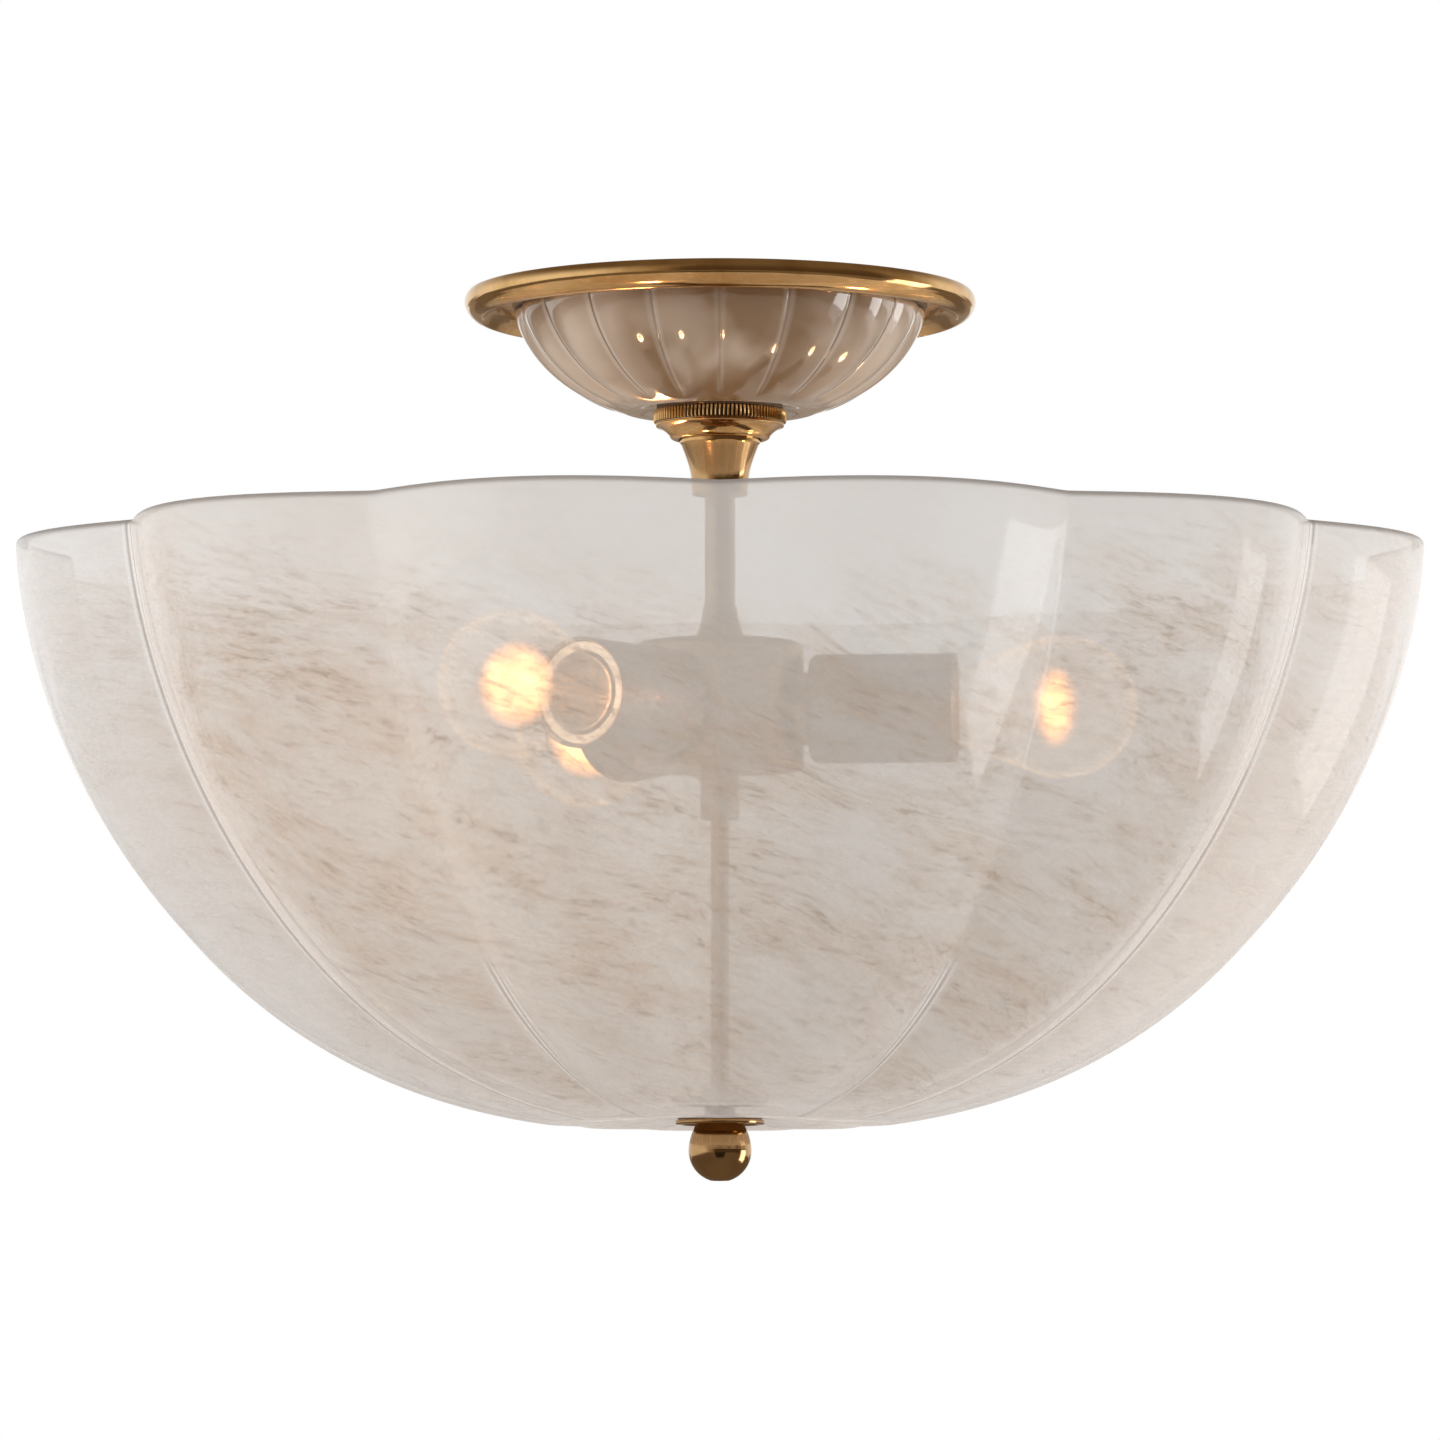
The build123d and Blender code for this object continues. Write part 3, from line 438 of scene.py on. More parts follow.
@dataclass(frozen=True)
class MarbledGlass:
    """Dense taupe glass with smoky pale swirls, under a clear gloss."""

    name: str
    taupe: Triple = (0.225, 0.138, 0.072)
    pale: Triple = (0.55, 0.45, 0.36)
    smoke: Triple = (0.66, 0.58, 0.50)
    # colour of the painted dark line in each valley
    brown: Triple = (0.17, 0.10, 0.055)
    # colour of the painted sheen at the outline and of the painted highlight bands beside the valleys
    edge: Triple = (0.74, 0.69, 0.64)
    lobes: int = 18
    collar: Pair = (0.035, 0.040)

    def make(self) -> Material:
        """Returns the material."""
        material, graph = new_material(self.name)
        place = graph.place()
        parts = graph.parts(place)
        outer = graph.span(graph.reach(parts), *self.collar)
        inner = graph.product(graph.math("SUBTRACT", 1.0, outer), 0.6)
        # Painted sheen: the glass is paled towards its outline.
        skirt = graph.span(graph.facing(0.3), 0.45, 0.95, 0.0, 0.55)
        wave = graph.math("ABSOLUTE", graph.valleys(parts, self.lobes))
        # Where the valleys turn away from the front, towards the sides, painted light and shade are laid along
        # them.
        turned = graph.product(graph.span(graph.across(parts), 0.05, 0.75, 0.25, 1.0), outer)
        # Painted highlight: pale bands beside the valleys.
        slope = graph.product(graph.span(wave, 0.38, 0.12, 0.0, 0.40), turned)
        # Painted shade: a thin dark line in each valley.
        line = graph.product(graph.span(wave, 0.09, 0.03, 0.0, 0.85), turned)
        layers = ((inner, self.taupe), (skirt, self.edge), (slope, self.edge), (line, self.brown))
        body = graph.layers(self.swirls(graph, place, parts), *layers)
        normal = graph.bump(graph.noise(place, 300.0, 2.0), 0.0002, 0.08)
        graph.finish(graph.glass(body, normal, 0.10, 1.0))
        return material

    def swirls(self, graph: Graph, place: Socket, parts: Any) -> Socket:
        """Lays pale swirls and smoke into the taupe.

        Args:
            graph: builder of the tree.
            place: the surface point.
            parts: its parts.

        Returns:
            The colour, with painted shade that browns it towards the rim and painted sheen that pales its
            sides.
        """
        drift = graph.wander(graph.wander(place, 14.0, 0.05), 40.0, 0.014)
        swirl = graph.noise(drift, 20.0, 2.0, 0.4)
        wisp = graph.noise(graph.flow(drift, 1.0, 0.3, 2.2), 22.0, 1.0, 0.3)
        wisp = graph.span(wisp, 0.46, 0.70, 0.0, 0.32)
        # Painted shade: the glass is browned towards the rim.
        upper = graph.span(parts["Z"], -0.034, -0.006, 0.0, 0.5)
        # Painted sheen: the sides, as seen from the front, are paled.
        side = graph.span(graph.math("ABSOLUTE", parts["X"]), 0.012, 0.058)
        tone = graph.math("SUBTRACT", graph.span(swirl, 0.34, 0.66, 0.05, 0.75), upper)
        tone = graph.total(tone, graph.product(side, 0.75), clamp=True)
        return graph.layers(self.taupe, (tone, self.pale), (wisp, self.smoke))


@dataclass(frozen=True)
class LampGlass:
    """Clear, faintly frosted glass of a lamp."""

    name: str
    tint: Triple = (0.78, 0.70, 0.60)
    frosted: Triple = (0.88, 0.82, 0.74)
    cover: float = 0.05
    # share of the painted sheen that makes the glass cover more at its outline
    outline: float = 0.40

    def make(self) -> Material:
        """Returns the material."""
        material, graph = new_material(self.name)
        frost = graph.noise(graph.place(), 300.0, 2.0)
        # Painted sheen: the glass covers more towards its outline.
        outline = graph.span(graph.facing(0.3), 0.2, 1.0, 0.0, self.outline)
        cover = graph.total(outline, self.cover, clamp=True)
        rough = graph.span(frost, 0.3, 0.7, 0.03, 0.10)
        colour = graph.blend(frost, self.tint, self.frosted)
        graph.finish(graph.surface(colour, Roughness=rough, IOR=1.5, Alpha=cover))
        return material


@dataclass(frozen=True)
class Glow:
    """A lit burner that fades out towards its outline, and shines stronger and redder in reflections."""

    name: str
    core: Triple = (1.0, 0.54, 0.19)
    rim: Triple = (1.0, 0.38, 0.11)
    power: float = 7.5
    glint: float = 1.2
    glint_tint: Triple = (1.0, 0.34, 0.10)

    def make(self) -> Material:
        """Returns the material."""
        material, graph = new_material(self.name)
        facing, ray = graph.facing(0.9), graph.rays()
        glossy = ray["Is Glossy Ray"]
        flicker = graph.noise(graph.place(), 180.0, 2.0)
        strength = graph.span(flicker, 0.3, 0.7, 0.75 * self.power, 1.1 * self.power)
        strength = graph.product(strength, graph.total(graph.product(glossy, self.glint), 1.0))
        colour = graph.layers(self.core, (facing, self.rim), (glossy, self.glint_tint))
        lit = graph.add("ShaderNodeEmission", {"Color": colour, "Strength": strength}).outputs[0]
        share = graph.math("MAXIMUM", facing, ray["Is Shadow Ray"])
        graph.finish(graph.mix(share, lit, graph.clear()))
        return material


@dataclass(frozen=True)
class Plain:
    """An even finish that varies a little in colour and roughness: steel, plastic, rubber, glaze or wire."""

    name: str
    colour: Triple
    metal: float = 0.0
    rough: float = 0.4
    change: float = 0.12
    grain: float = 250.0
    relief: float = 0.00003

    def make(self) -> Material:
        """Returns the material."""
        material, graph = new_material(self.name)
        place = graph.place()
        cloud = graph.noise(place, self.grain, 4.0, 0.6)
        dark = tuple(part * (1.0 - self.change) for part in self.colour)
        colour = graph.blend(cloud, dark, self.colour)
        rough = graph.span(cloud, 0.3, 0.7, max(self.rough - 0.08, 0.03), self.rough + 0.08)
        normal = graph.bump(graph.noise(place, 4.0 * self.grain, 2.0), self.relief, 0.4)
        graph.finish(graph.surface(colour, Metallic=self.metal, Roughness=rough, Normal=normal))
        return material


def add_object(name: str, data: Any) -> Piece:
    """Returns a new object of the scene that shows the data."""
    made = bpy.data.objects.new(name, data)
    bpy.context.scene.collection.objects.link(made)
    return made


def smooth(mesh: bpy.types.Mesh, crease: float) -> None:
    """Smooths a mesh, except at edges past the crease in degrees."""
    mesh.shade_smooth()
    mesh.set_sharp_from_angle(angle=math.radians(crease))


@dataclass
class Shape:
    """Vertices and faces of a mesh under construction, in metres."""

    points: list[Triple] = field(default_factory=list)
    faces: list[tuple[int, ...]] = field(default_factory=list)

    def grid(self, rows: np.ndarray, closed: bool) -> None:
        """Lays a skin of quads over rows of points that each run round an axis.

        Args:
            rows: array of rows, points and coordinates.
            closed: whether the last row joins the first one.
        """
        down, around = rows.shape[:2]
        self.points.extend(map(tuple, rows.reshape(-1, 3)))
        for row in range(down if closed else down - 1):
            above, below = row * around, (row + 1) % down * around
            for step in range(around):
                beside = (step + 1) % around
                self.faces.append((above + step, above + beside, below + beside, below + step))

    def fan(self, start: int, around: int, tip: Triple, turned: bool) -> None:
        """Closes a ring of vertices with triangles to a point.

        Args:
            start: number of the ring's first vertex.
            around: count of its vertices.
            tip: the point.
            turned: whether the triangles face the other way.
        """
        self.points.append(tip)
        centre = len(self.points) - 1
        for step in range(around):
            corner, beside = start + step, start + (step + 1) % around
            self.faces.append((centre, beside, corner) if turned else (centre, corner, beside))

    def build(self, name: str, finish: Material, crease: float = 40.0) -> Piece:
        """Makes the object.

        Args:
            name: the piece's name.
            finish: its material.
            crease: angle in degrees past which an edge stays sharp.

        Returns:
            The object, at the origin.
        """
        mesh = bpy.data.meshes.new(name)
        mesh.from_pydata(self.points, [], self.faces)
        mesh.validate()
        smooth(mesh, crease)
        mesh.materials.append(finish)
        return add_object(name, mesh)


@dataclass(frozen=True)
class Turning:
    """The axis of a turned piece, through a point in millimetres."""

    base: Triple = (0.0, 0.0, 0.0)
    along: Triple = (0.0, 0.0, 1.0)

    def lathe(self, outline: Outline, angles: np.ndarray) -> Shape:
        """Turns an outline about the axis.

        Args:
            outline: radius and height of each point, in millimetres. The material lies on the left of its
                direction. It either comes back to its first point or starts and ends on the axis.
            angles: where round the axis the columns of points stand, in radians.

        Returns:
            The turned shape.
        """
        turn = Vector(self.along).to_track_quat("Z", "Y").to_matrix().to_4x4()
        matrix = Matrix.Translation(Vector(self.base) * MM) @ turn
        closed = outline[0] == outline[-1]
        rim = [point for point in (outline[:-1] if closed else outline) if point[0] > 0.0]
        radius, height = (np.array(column)[:, None] * MM for column in zip(*rim))
        flat = np.ones_like(angles)[None, :]
        rows = np.stack([radius * np.cos(angles), radius * np.sin(angles), height * flat], axis=2)
        placed = rows.reshape(-1, 3) @ np.array(matrix.to_3x3()).T + np.array(matrix.translation)
        shape = Shape()
        shape.grid(placed.reshape(rows.shape), closed)
        if not closed:
            around = len(angles)
            bottom, top = (tuple(matrix @ Vector((0.0, 0.0, outline[end][1] * MM))) for end in (0, -1))
            shape.fan(0, around, bottom, True)
            shape.fan((len(rim) - 1) * around, around, top, False)
        return shape


def evenly(steps: int) -> np.ndarray:
    """Returns angles evenly spaced round a circle."""
    return np.arange(steps) * (2 * math.pi / steps)


def bow(first: Pair, middle: Pair, last: Pair, steps: int) -> Outline:
    """Draws the arc through three points.

    Args:
        first: where it starts.
        middle: a point on its way.
        last: where it ends.
        steps: count of its equal parts.

    Returns:
        Points on the arc, with both ends.
    """
    (ax, ay), (bx, by), (cx, cy) = first, middle, last
    twice = 2 * (ax * (by - cy) + bx * (cy - ay) + cx * (ay - by))
    squares = (ax * ax + ay * ay, bx * bx + by * by, cx * cx + cy * cy)
    x = (squares[0] * (by - cy) + squares[1] * (cy - ay) + squares[2] * (ay - by)) / twice
    y = (squares[0] * (cx - bx) + squares[1] * (ax - cx) + squares[2] * (bx - ax)) / twice
    start, way, end = (math.atan2(point[1] - y, point[0] - x) for point in (first, middle, last))
    turn = (end - start) % (2 * math.pi)
    if (way - start) % (2 * math.pi) > turn:
        turn -= 2 * math.pi
    radius = math.hypot(ax - x, ay - y)
    angles = [start + turn * step / steps for step in range(steps + 1)]
    return [(x + radius * math.cos(angle), y + radius * math.sin(angle)) for angle in angles]


def curve(points: Outline, steps: int) -> Outline:
    """Draws a smooth line through a few points.

    Args:
        points: the points.
        steps: count of parts between each two.

    Returns:
        Points on the line, with both ends.
    """
    ends = [points[0], *points, points[-1]]
    shares = [step / steps for step in range(steps)]
    spans = zip(ends, ends[1:], ends[2:], ends[3:])
    line = [tuple(spline(share, *values) for values in zip(*knots)) for knots in spans for share in shares]
    return [*line, points[-1]]


def spline(share: float, before: float, start: float, end: float, after: float) -> float:
    """Returns a value a share of the way from start to end, with slopes taken from the values beside them."""
    first, last, rise = (end - before) / 2, (after - start) / 2, end - start
    return start + share * (first + share * (3 * rise - 2 * first - last + share * (first + last - 2 * rise)))


def rounded(corners: list[tuple[float, ...]], steps: int = 4) -> Outline:
    """Returns an outline with rounded corners.

    Args:
        corners: radius and height of each corner, and its rounding where it has one. Both ends stay sharp.
        steps: points on each rounding.

    Returns:
        The outline's points.
    """
    line: Outline = [corners[0]]
    for before, corner, after in zip(corners, corners[1:], corners[2:]):
        if len(corner) == 2:
            line.append(corner)
            continue
        middle = Vector(corner[:2])
        back, ahead = Vector(before[:2]) - middle, Vector(after[:2]) - middle
        reach = corner[2] / math.tan(back.angle(ahead) / 2)
        start, end = middle + back.normalized() * reach, middle + ahead.normalized() * reach
        for share in (step / steps for step in range(steps + 1)):
            line.append(tuple(start.lerp(middle, share).lerp(middle.lerp(end, share), share)))
    return [*line, corners[-1]]


def by_nodes(
    base: Piece,
    sizes: dict[str, Any],
    steps: Callable[[Graph, Any], Socket],
    finish: Material,
    crease: float,
) -> Piece:
    """Shapes an object with geometry nodes and keeps the result as its mesh.

    Args:
        base: object whose mesh goes into the tree.
        sizes: value of each named input of the tree.
        steps: adds the nodes after the tree's inputs and returns the geometry they make.
        finish: material of the result.
        crease: angle in degrees past which an edge stays sharp.

    Returns:
        The same object with its new mesh and without the modifier.
    """
    tree = bpy.data.node_groups.new(f"{base.name}_shape", "GeometryNodeTree")
    graph = Graph(tree)
    for way in ("INPUT", "OUTPUT"):
        tree.interface.new_socket(name="Geometry", in_out=way, socket_type="NodeSocketGeometry")
    kinds = {float: "NodeSocketFloat", int: "NodeSocketInt", Piece: "NodeSocketObject"}
    keys = {
        name: tree.interface.new_socket(name=name, in_out="INPUT", socket_type=kinds[type(value)]).identifier
        for name, value in sizes.items()
    }
    shaped = steps(graph, graph.add("NodeGroupInput").outputs)
    real = graph.add("GeometryNodeRealizeInstances", {0: shaped}).outputs[0]
    dressed = graph.add("GeometryNodeSetMaterial", {"Geometry": real, "Material": finish}).outputs[0]
    graph.add("NodeGroupOutput", {0: dressed})
    modifier = base.modifiers.new("shape", "NODES")
    modifier.node_group = tree
    for name, value in sizes.items():
        modifier[keys[name]] = value
    bpy.context.view_layer.update()
    depsgraph = bpy.context.evaluated_depsgraph_get()
    mesh = bpy.data.meshes.new_from_object(base.evaluated_get(depsgraph))
    mesh.name = base.name
    base.modifiers.clear()
    base.data = mesh
    smooth(mesh, crease)
    return base


@dataclass(frozen=True)
class LobedBowl:
    """A glass bowl pressed into rounded lobes with a sharp valley between each two, open at the top.

    Sizes are in millimetres. The skins follow a rounded profile at the tips of the lobes, and geometry nodes
    draw the skin inwards between the tips.
    """

    name: str
    lobes: int
    columns: int
    rows: int
    rim_height: float
    rim_radius: float
    depth: float
    depth_power: float
    side_power: float
    rim_pinch: float
    foot_pinch: float
    foot_height: float
    wall: float
    flat_radius: float
    lobed_radius: float
    roundness: float = 1.12
    valley: float = 0.03
    groove: float = 0.0
    groove_width: float = 0.1

    def skin(self, inset: float) -> Outline:
        """Draws the profile of a skin at the tips of the lobes.

        Args:
            inset: how far it lies inside the outer skin.

        Returns:
            The points from the rim to the foot.
        """
        share = ((self.rim_height - self.foot_height) / self.depth) ** (self.depth_power / 2)
        steepest = -self.rim_radius * self.depth_power / (self.side_power * self.depth)
        line = []
        for step in range(self.rows + 1):
            turn = math.asin(share) * (step / self.rows) ** 0.9
            fall = self.depth * math.sin(turn) ** (2 / self.depth_power)
            radius = self.rim_radius * math.cos(turn) ** (2 / self.side_power)
            part = max(fall / self.depth, 1e-6)
            narrowing = (1 - part**self.depth_power) ** (1 / self.side_power - 1)
            slope = steepest * part ** (self.depth_power - 1) * narrowing
            lean = math.hypot(1.0, slope)
            line.append((radius - inset / lean, self.rim_height - fall - inset * slope / lean))
        return line

    def angles(self) -> np.ndarray:
        """Returns the columns' angles, closer together beside the valleys, with a valley at the front."""
        steps = np.arange(self.columns) / self.columns
        eased = steps - 0.75 * np.sin(2 * math.pi * steps) / (2 * math.pi)
        turns = (np.arange(self.lobes)[:, None] + eased[None, :]).ravel() / self.lobes
        return 2 * math.pi * turns - math.pi / 2

    def outline(self, middle: Outline) -> Outline:
        """Draws the closed outline of the wall.

        Args:
            middle: points from the inner skin's foot, through the hole, to the outer skin's foot.

        Returns:
            The outline, with its first point again at the end.
        """
        floor, skins = self.rim_height - self.wall / 2, (self.skin(0.0), self.skin(self.wall))
        outside, inside = ([point for point in skin if point[1] < floor] for skin in skins)
        (out_x, out_z), (in_x, _) = outside[0], inside[0]
        centre, half, rise = (out_x + in_x) / 2, (out_x - in_x) / 2, self.rim_height - out_z
        turns = [math.pi * step / 10 for step in range(1, 10)]
        rim = [(centre + half * math.cos(turn), out_z + rise * math.sin(turn)) for turn in turns]
        return [*reversed(outside), *rim, *inside, *middle, outside[-1]]

    def lobe(self, graph: Graph, size: Any) -> Socket:
        """Draws the skin inwards between the tips of the lobes.

        Args:
            graph: builder of the tree.
            size: the tree's inputs.

        Returns:
            The shaped geometry.
        """
        place = graph.add("GeometryNodeInputPosition").outputs[0]
        parts = graph.parts(place)
        wave = graph.valleys(parts, size["Lobes"])
        square = graph.total(graph.product(wave, wave), graph.product(size["Valley"], size["Valley"]))
        soft = graph.math("MINIMUM", graph.math("SQRT", square), 1.0)
        crest = graph.math("POWER", soft, size["Roundness"])
        near = graph.math("SUBTRACT", 1.0, graph.math("DIVIDE", soft, size["Groove Width"]), clamp=True)
        groove = graph.product(graph.math("POWER", near, 1.5), size["Groove"])
        heights = {"From Min": size["Rim Height"], "From Max": size["Foot Height"]}
        pinches = {"To Min": size["Rim Pinch"], "To Max": size["Foot Pinch"]}
        level = graph.add("ShaderNodeMapRange", {"Value": parts["Z"], **heights, **pinches}).outputs[0]
        fade = graph.span(graph.reach(parts), size["Flat Radius"], size["Lobed Radius"])
        pull = graph.total(graph.product(graph.math("SUBTRACT", 1.0, crest), level), groove)
        keep = graph.math("SUBTRACT", 1.0, graph.product(pull, fade))
        scale = graph.add("ShaderNodeCombineXYZ", {0: keep, 1: keep, 2: 1.0}).outputs[0]
        moved = graph.add("ShaderNodeVectorMath", {0: place, 1: scale}, operation="MULTIPLY").outputs[0]
        return graph.add("GeometryNodeSetPosition", {"Geometry": size[0], "Position": moved}).outputs[0]

    def build(self, middle: Outline, finish: Material) -> Piece:
        """Makes the bowl.

        Args:
            middle: points from the inner skin's foot, through the hole, to the outer skin's foot.
            finish: the glass.

        Returns:
            The finished object.
        """
        base = Turning().lathe(self.outline(middle), self.angles()).build(self.name, finish)
        shares = ("Lobes", "Valley", "Roundness", "Groove", "Groove Width", "Rim Pinch", "Foot Pinch")
        lengths = ("Rim Height", "Foot Height", "Flat Radius", "Lobed Radius")
        units = {**dict.fromkeys(shares, 1.0), **dict.fromkeys(lengths, MM)}
        sizes = {name: unit * getattr(self, name.lower().replace(" ", "_")) for name, unit in units.items()}
        return by_nodes(base, sizes, self.lobe, finish, 65.0)


class Finish(Enum):
    """Finishes of the light, by the slot that each one fills."""

    POLISHED_BRASS = Brass("polished_brass", (0.80, 0.51, 0.23), (0.64, 0.38, 0.15), 0.07, 0.08)
    STEM_BRASS = Brass("stem_brass", (0.50, 0.43, 0.37), (0.36, 0.31, 0.28), 0.22, 0.16)
    CUP_METAL = Plain("cup_metal", (0.36, 0.33, 0.32), 1.0, 0.36)
    BOWL_GLASS = BowlGlass("shade_glass")
    CANOPY_GLASS = MarbledGlass("canopy_glass")
    LAMP_GLASS = LampGlass("lamp_glass")
    LAMP_BASE = Plain("lamp_base", (0.66, 0.60, 0.50), 1.0, 0.28)
    LAMP_FILAMENT = Glow("lamp_filament")
    SCREW_SHELL = Plain("screw_shell", (0.78, 0.58, 0.32), 1.0, 0.30)
    PORCELAIN = Plain("porcelain", (0.82, 0.80, 0.75), 0.0, 0.18, 0.06, 120.0)
    ZINC_STEEL = Plain("zinc_steel", (0.60, 0.61, 0.62), 1.0, 0.34, 0.18)
    GROUND_SCREW = Plain("ground_screw", (0.10, 0.33, 0.16), 0.6, 0.35)
    TERMINAL_PLASTIC = Plain("terminal_plastic", (0.74, 0.73, 0.70), 0.0, 0.40, 0.05)
    GASKET_RUBBER = Plain("gasket_rubber", (0.23, 0.17, 0.12), 0.0, 0.62, 0.2)
    LIVE_WIRE = Plain("live_wire", (0.030, 0.030, 0.032), 0.0, 0.45)
    NEUTRAL_WIRE = Plain("neutral_wire", (0.76, 0.75, 0.72), 0.0, 0.45, 0.06)
    GROUND_WIRE = Plain("ground_wire", (0.12, 0.38, 0.16), 0.0, 0.45)


class Palette:
    """Makes each finish once and dresses pieces in it."""

    def __init__(self) -> None:
        """Starts with no material made."""
        self.made: dict[Finish, Material] = {}

    def material(self, finish: Finish) -> Material:
        """Returns the finish's material."""
        if finish not in self.made:
            self.made[finish] = finish.value.make()
        return self.made[finish]

    def dress(self, frame: dict[str, Any]) -> None:
        """Gives every CAD node the finish of its slot.
        """
        by_slot = {finish.value.name: finish for finish in Finish}
        for part in frame["record"]["subparts"]:
            materials = frame["nodes"][part["node"]].data.materials
            materials.clear()
            materials.append(self.material(by_slot[part["material_slot"]]))
        LOG.info("dressed %d CAD nodes", len(frame["nodes"]))


@dataclass
class Assembly:
    """What every sub-assembly shares: its finishes, and how a piece is turned and joined to the frame."""

    palette: Palette

    def settle(self, piece: Piece, body: str, finish: Finish, node: str) -> None:
        """Joins a piece to the frame and logs it.

        Args:
            piece: finished object at the origin.
            body: CAD body that it moves with.
            finish: its finish, whose name goes into the log.
            node: CAD node that it stands for.
        """
        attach(piece, body)
        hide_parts(node)
        LOG.info("%s on %s: %d faces, %s", piece.name, body, len(piece.data.polygons), finish.value.name)

    def axis(self) -> Turning:
        """Returns the axis that the pieces are turned about: the stem's."""
        return Turning()

    def turn(self, name: str, node: str, body: str, finish: Finish, line: Outline, steps: int) -> None:
        """Makes a turned piece and joins it to the frame.

        Args:
            name: the piece's name.
            node: CAD node that it stands for.
            body: CAD body that it moves with.
            finish: its finish.
            line: its outline, as the lathe takes it.
            steps: points round the axis.
        """
        piece = self.axis().lathe(line, evenly(steps)).build(name, self.palette.material(finish))
        self.settle(piece, body, finish, node)


@dataclass
class Canopy(Assembly):
    """The brass ring and the small fluted bowl against the ceiling, with the knurled nut that holds them."""

    ring_radius: float = 85.5
    ring_edge: float = 80.5
    ring_bore: float = 62.0
    ring_floor: float = -2.2
    ring_seat: float = -4.2
    nut_bore: float = 14.0
    nut_radius: float = 22.2
    nut_top: float = -39.4
    nut_bottom: float = -44.15
    skirt_bottom: float = -49.4
    tooth_depth: float = 0.7
    teeth: int = 100
    glass_hole: float = 15.2
    glass_seat: float = -38.8
    glass_floor: float = 2.1

    def ring(self) -> None:
        """Makes the turned ring, with its lip, groove and seat."""
        edge, bore, floor, seat = self.ring_edge, self.ring_bore, self.ring_floor, self.ring_seat
        slope = curve([(76.4, -6.2), (77.9, -7.1), (79.2, -8.4)], 6)
        foot = bow((79.3, -8.5), (79.8, -8.95), (80.4, -9.0), 6)
        lip = bow((80.4, -9.0), (82.9, -8.0), (84.6, -6.0), 14)[1:]
        side = bow((84.6, -6.0), (self.ring_radius, -3.4), (84.3, -0.25), 18)[1:]
        line = [
            (edge, 0.0), (edge, floor), (bore, floor), (bore, seat), (74.0, seat), (74.3, -4.5), (74.6, -5.4),
            (75.0, -5.75), *slope, *foot, *lip, *side, (84.0, 0.0), (edge, 0.0),
        ]
        self.turn("canopy_ring_turned", "canopy_ring", "canopy", Finish.POLISHED_BRASS, line, 360)

    def glass(self) -> None:
        """Makes the fluted bowl, bored for the collar and faced for the nut."""
        bowl = LobedBowl(
            name="canopy_glass_fluted", lobes=18, columns=22, rows=64, rim_height=-5.0, rim_radius=68.9,
            depth=38.0, depth_power=1.613, side_power=2.730, rim_pinch=0.020, foot_pinch=0.055,
            foot_height=-40.2, wall=3.5, flat_radius=34.0, lobed_radius=41.0, valley=0.015, groove=0.005,
            groove_width=0.20,
        )
        hole, seat = self.glass_hole, self.glass_seat
        floor = seat + self.glass_floor
        middle = [(24.0, floor), (hole, floor), (hole, seat), (22.4, seat), (22.6, seat - 0.15)]
        finish = Finish.CANOPY_GLASS
        self.settle(bowl.build(middle, self.palette.material(finish)), "canopy", finish, "canopy_glass")

    def tooth(self) -> Piece:
        """Returns one tooth of the knurl, a hipped wedge that points along X from the band."""
        half = math.pi * (self.nut_radius - self.tooth_depth) / self.teeth
        tip = self.tooth_depth
        section = [(-0.2, 0.9), (0.75 * tip, 0.5), (tip, 0.0), (0.75 * tip, -0.5), (-0.2, -0.9)]
        ends = ((self.nut_bottom, 1.0), (self.nut_top, -1.0))
        points = [(out, side * half, end + way * max(out, 0.0)) for end, way in ends for out, side in section]
        shape = Shape([tuple(MM * part for part in point) for point in points])
        shape.faces = [(step, step + 5, step + 6, step + 1) for step in range(4)]
        shape.faces += [(0, 1, 2, 3, 4), (9, 8, 7, 6, 5), (0, 4, 9, 5)]
        return shape.build("tooth", self.palette.material(Finish.POLISHED_BRASS), 10.0)

    def knurl(self, graph: Graph, size: Any) -> Socket:
        """Sets the teeth round the band.

        Args:
            graph: builder of the tree.
            size: the tree's inputs.

        Returns:
            The band with its teeth.
        """
        sockets = {"Vertices": size["Teeth"], "Radius": size["Band Radius"]}
        circle = graph.add("GeometryNodeMeshCircle", sockets)
        tooth = graph.add("GeometryNodeObjectInfo", {"Object": size["Tooth"]}).outputs["Geometry"]
        number = graph.add("GeometryNodeInputIndex").outputs[0]
        turn = graph.math("DIVIDE", graph.product(number, 2 * math.pi), size["Teeth"])
        spin = graph.add("ShaderNodeCombineXYZ", {2: turn}).outputs[0]
        sockets = {"Points": circle.outputs[0], "Instance": tooth, "Rotation": spin}
        placed = graph.add("GeometryNodeInstanceOnPoints", sockets).outputs[0]
        both = graph.add("GeometryNodeJoinGeometry", {0: placed})
        graph.tree.links.new(size[0], both.inputs[0])
        return both.outputs[0]

    def nut(self) -> None:
        """Makes the ring nut: a skirt below and a band set with teeth."""
        band, bore = self.nut_radius - self.tooth_depth, self.nut_bore
        low, foot, top = self.nut_bottom, self.skirt_bottom, self.nut_top
        line = [
            (bore, foot), (15.3, foot), *bow((15.3, foot), (16.2, -49.1), (16.9, -48.1), 6)[1:],
            *bow((16.9, -48.1), (18.5, -46.4), (20.9, -45.1), 14)[1:],
            *bow((20.9, -45.1), (21.5, -44.6), (21.1, low), 8)[1:],
            (band, low), (band, top), (bore, top), (bore, foot),
        ]
        finish = Finish.POLISHED_BRASS
        brass = self.palette.material(finish)
        piece = Turning().lathe(line, evenly(300)).build("ring_nut_knurled", brass)
        tooth = self.tooth()
        sizes = {"Teeth": self.teeth, "Band Radius": band * MM, "Tooth": tooth}
        by_nodes(piece, sizes, self.knurl, brass, 20.0)
        bpy.data.objects.remove(tooth)
        self.settle(piece, "nut", finish, "ring_nut")

    def build(self) -> None:
        """Makes the ring, the glass and the nut."""
        self.ring()
        self.glass()
        self.nut()


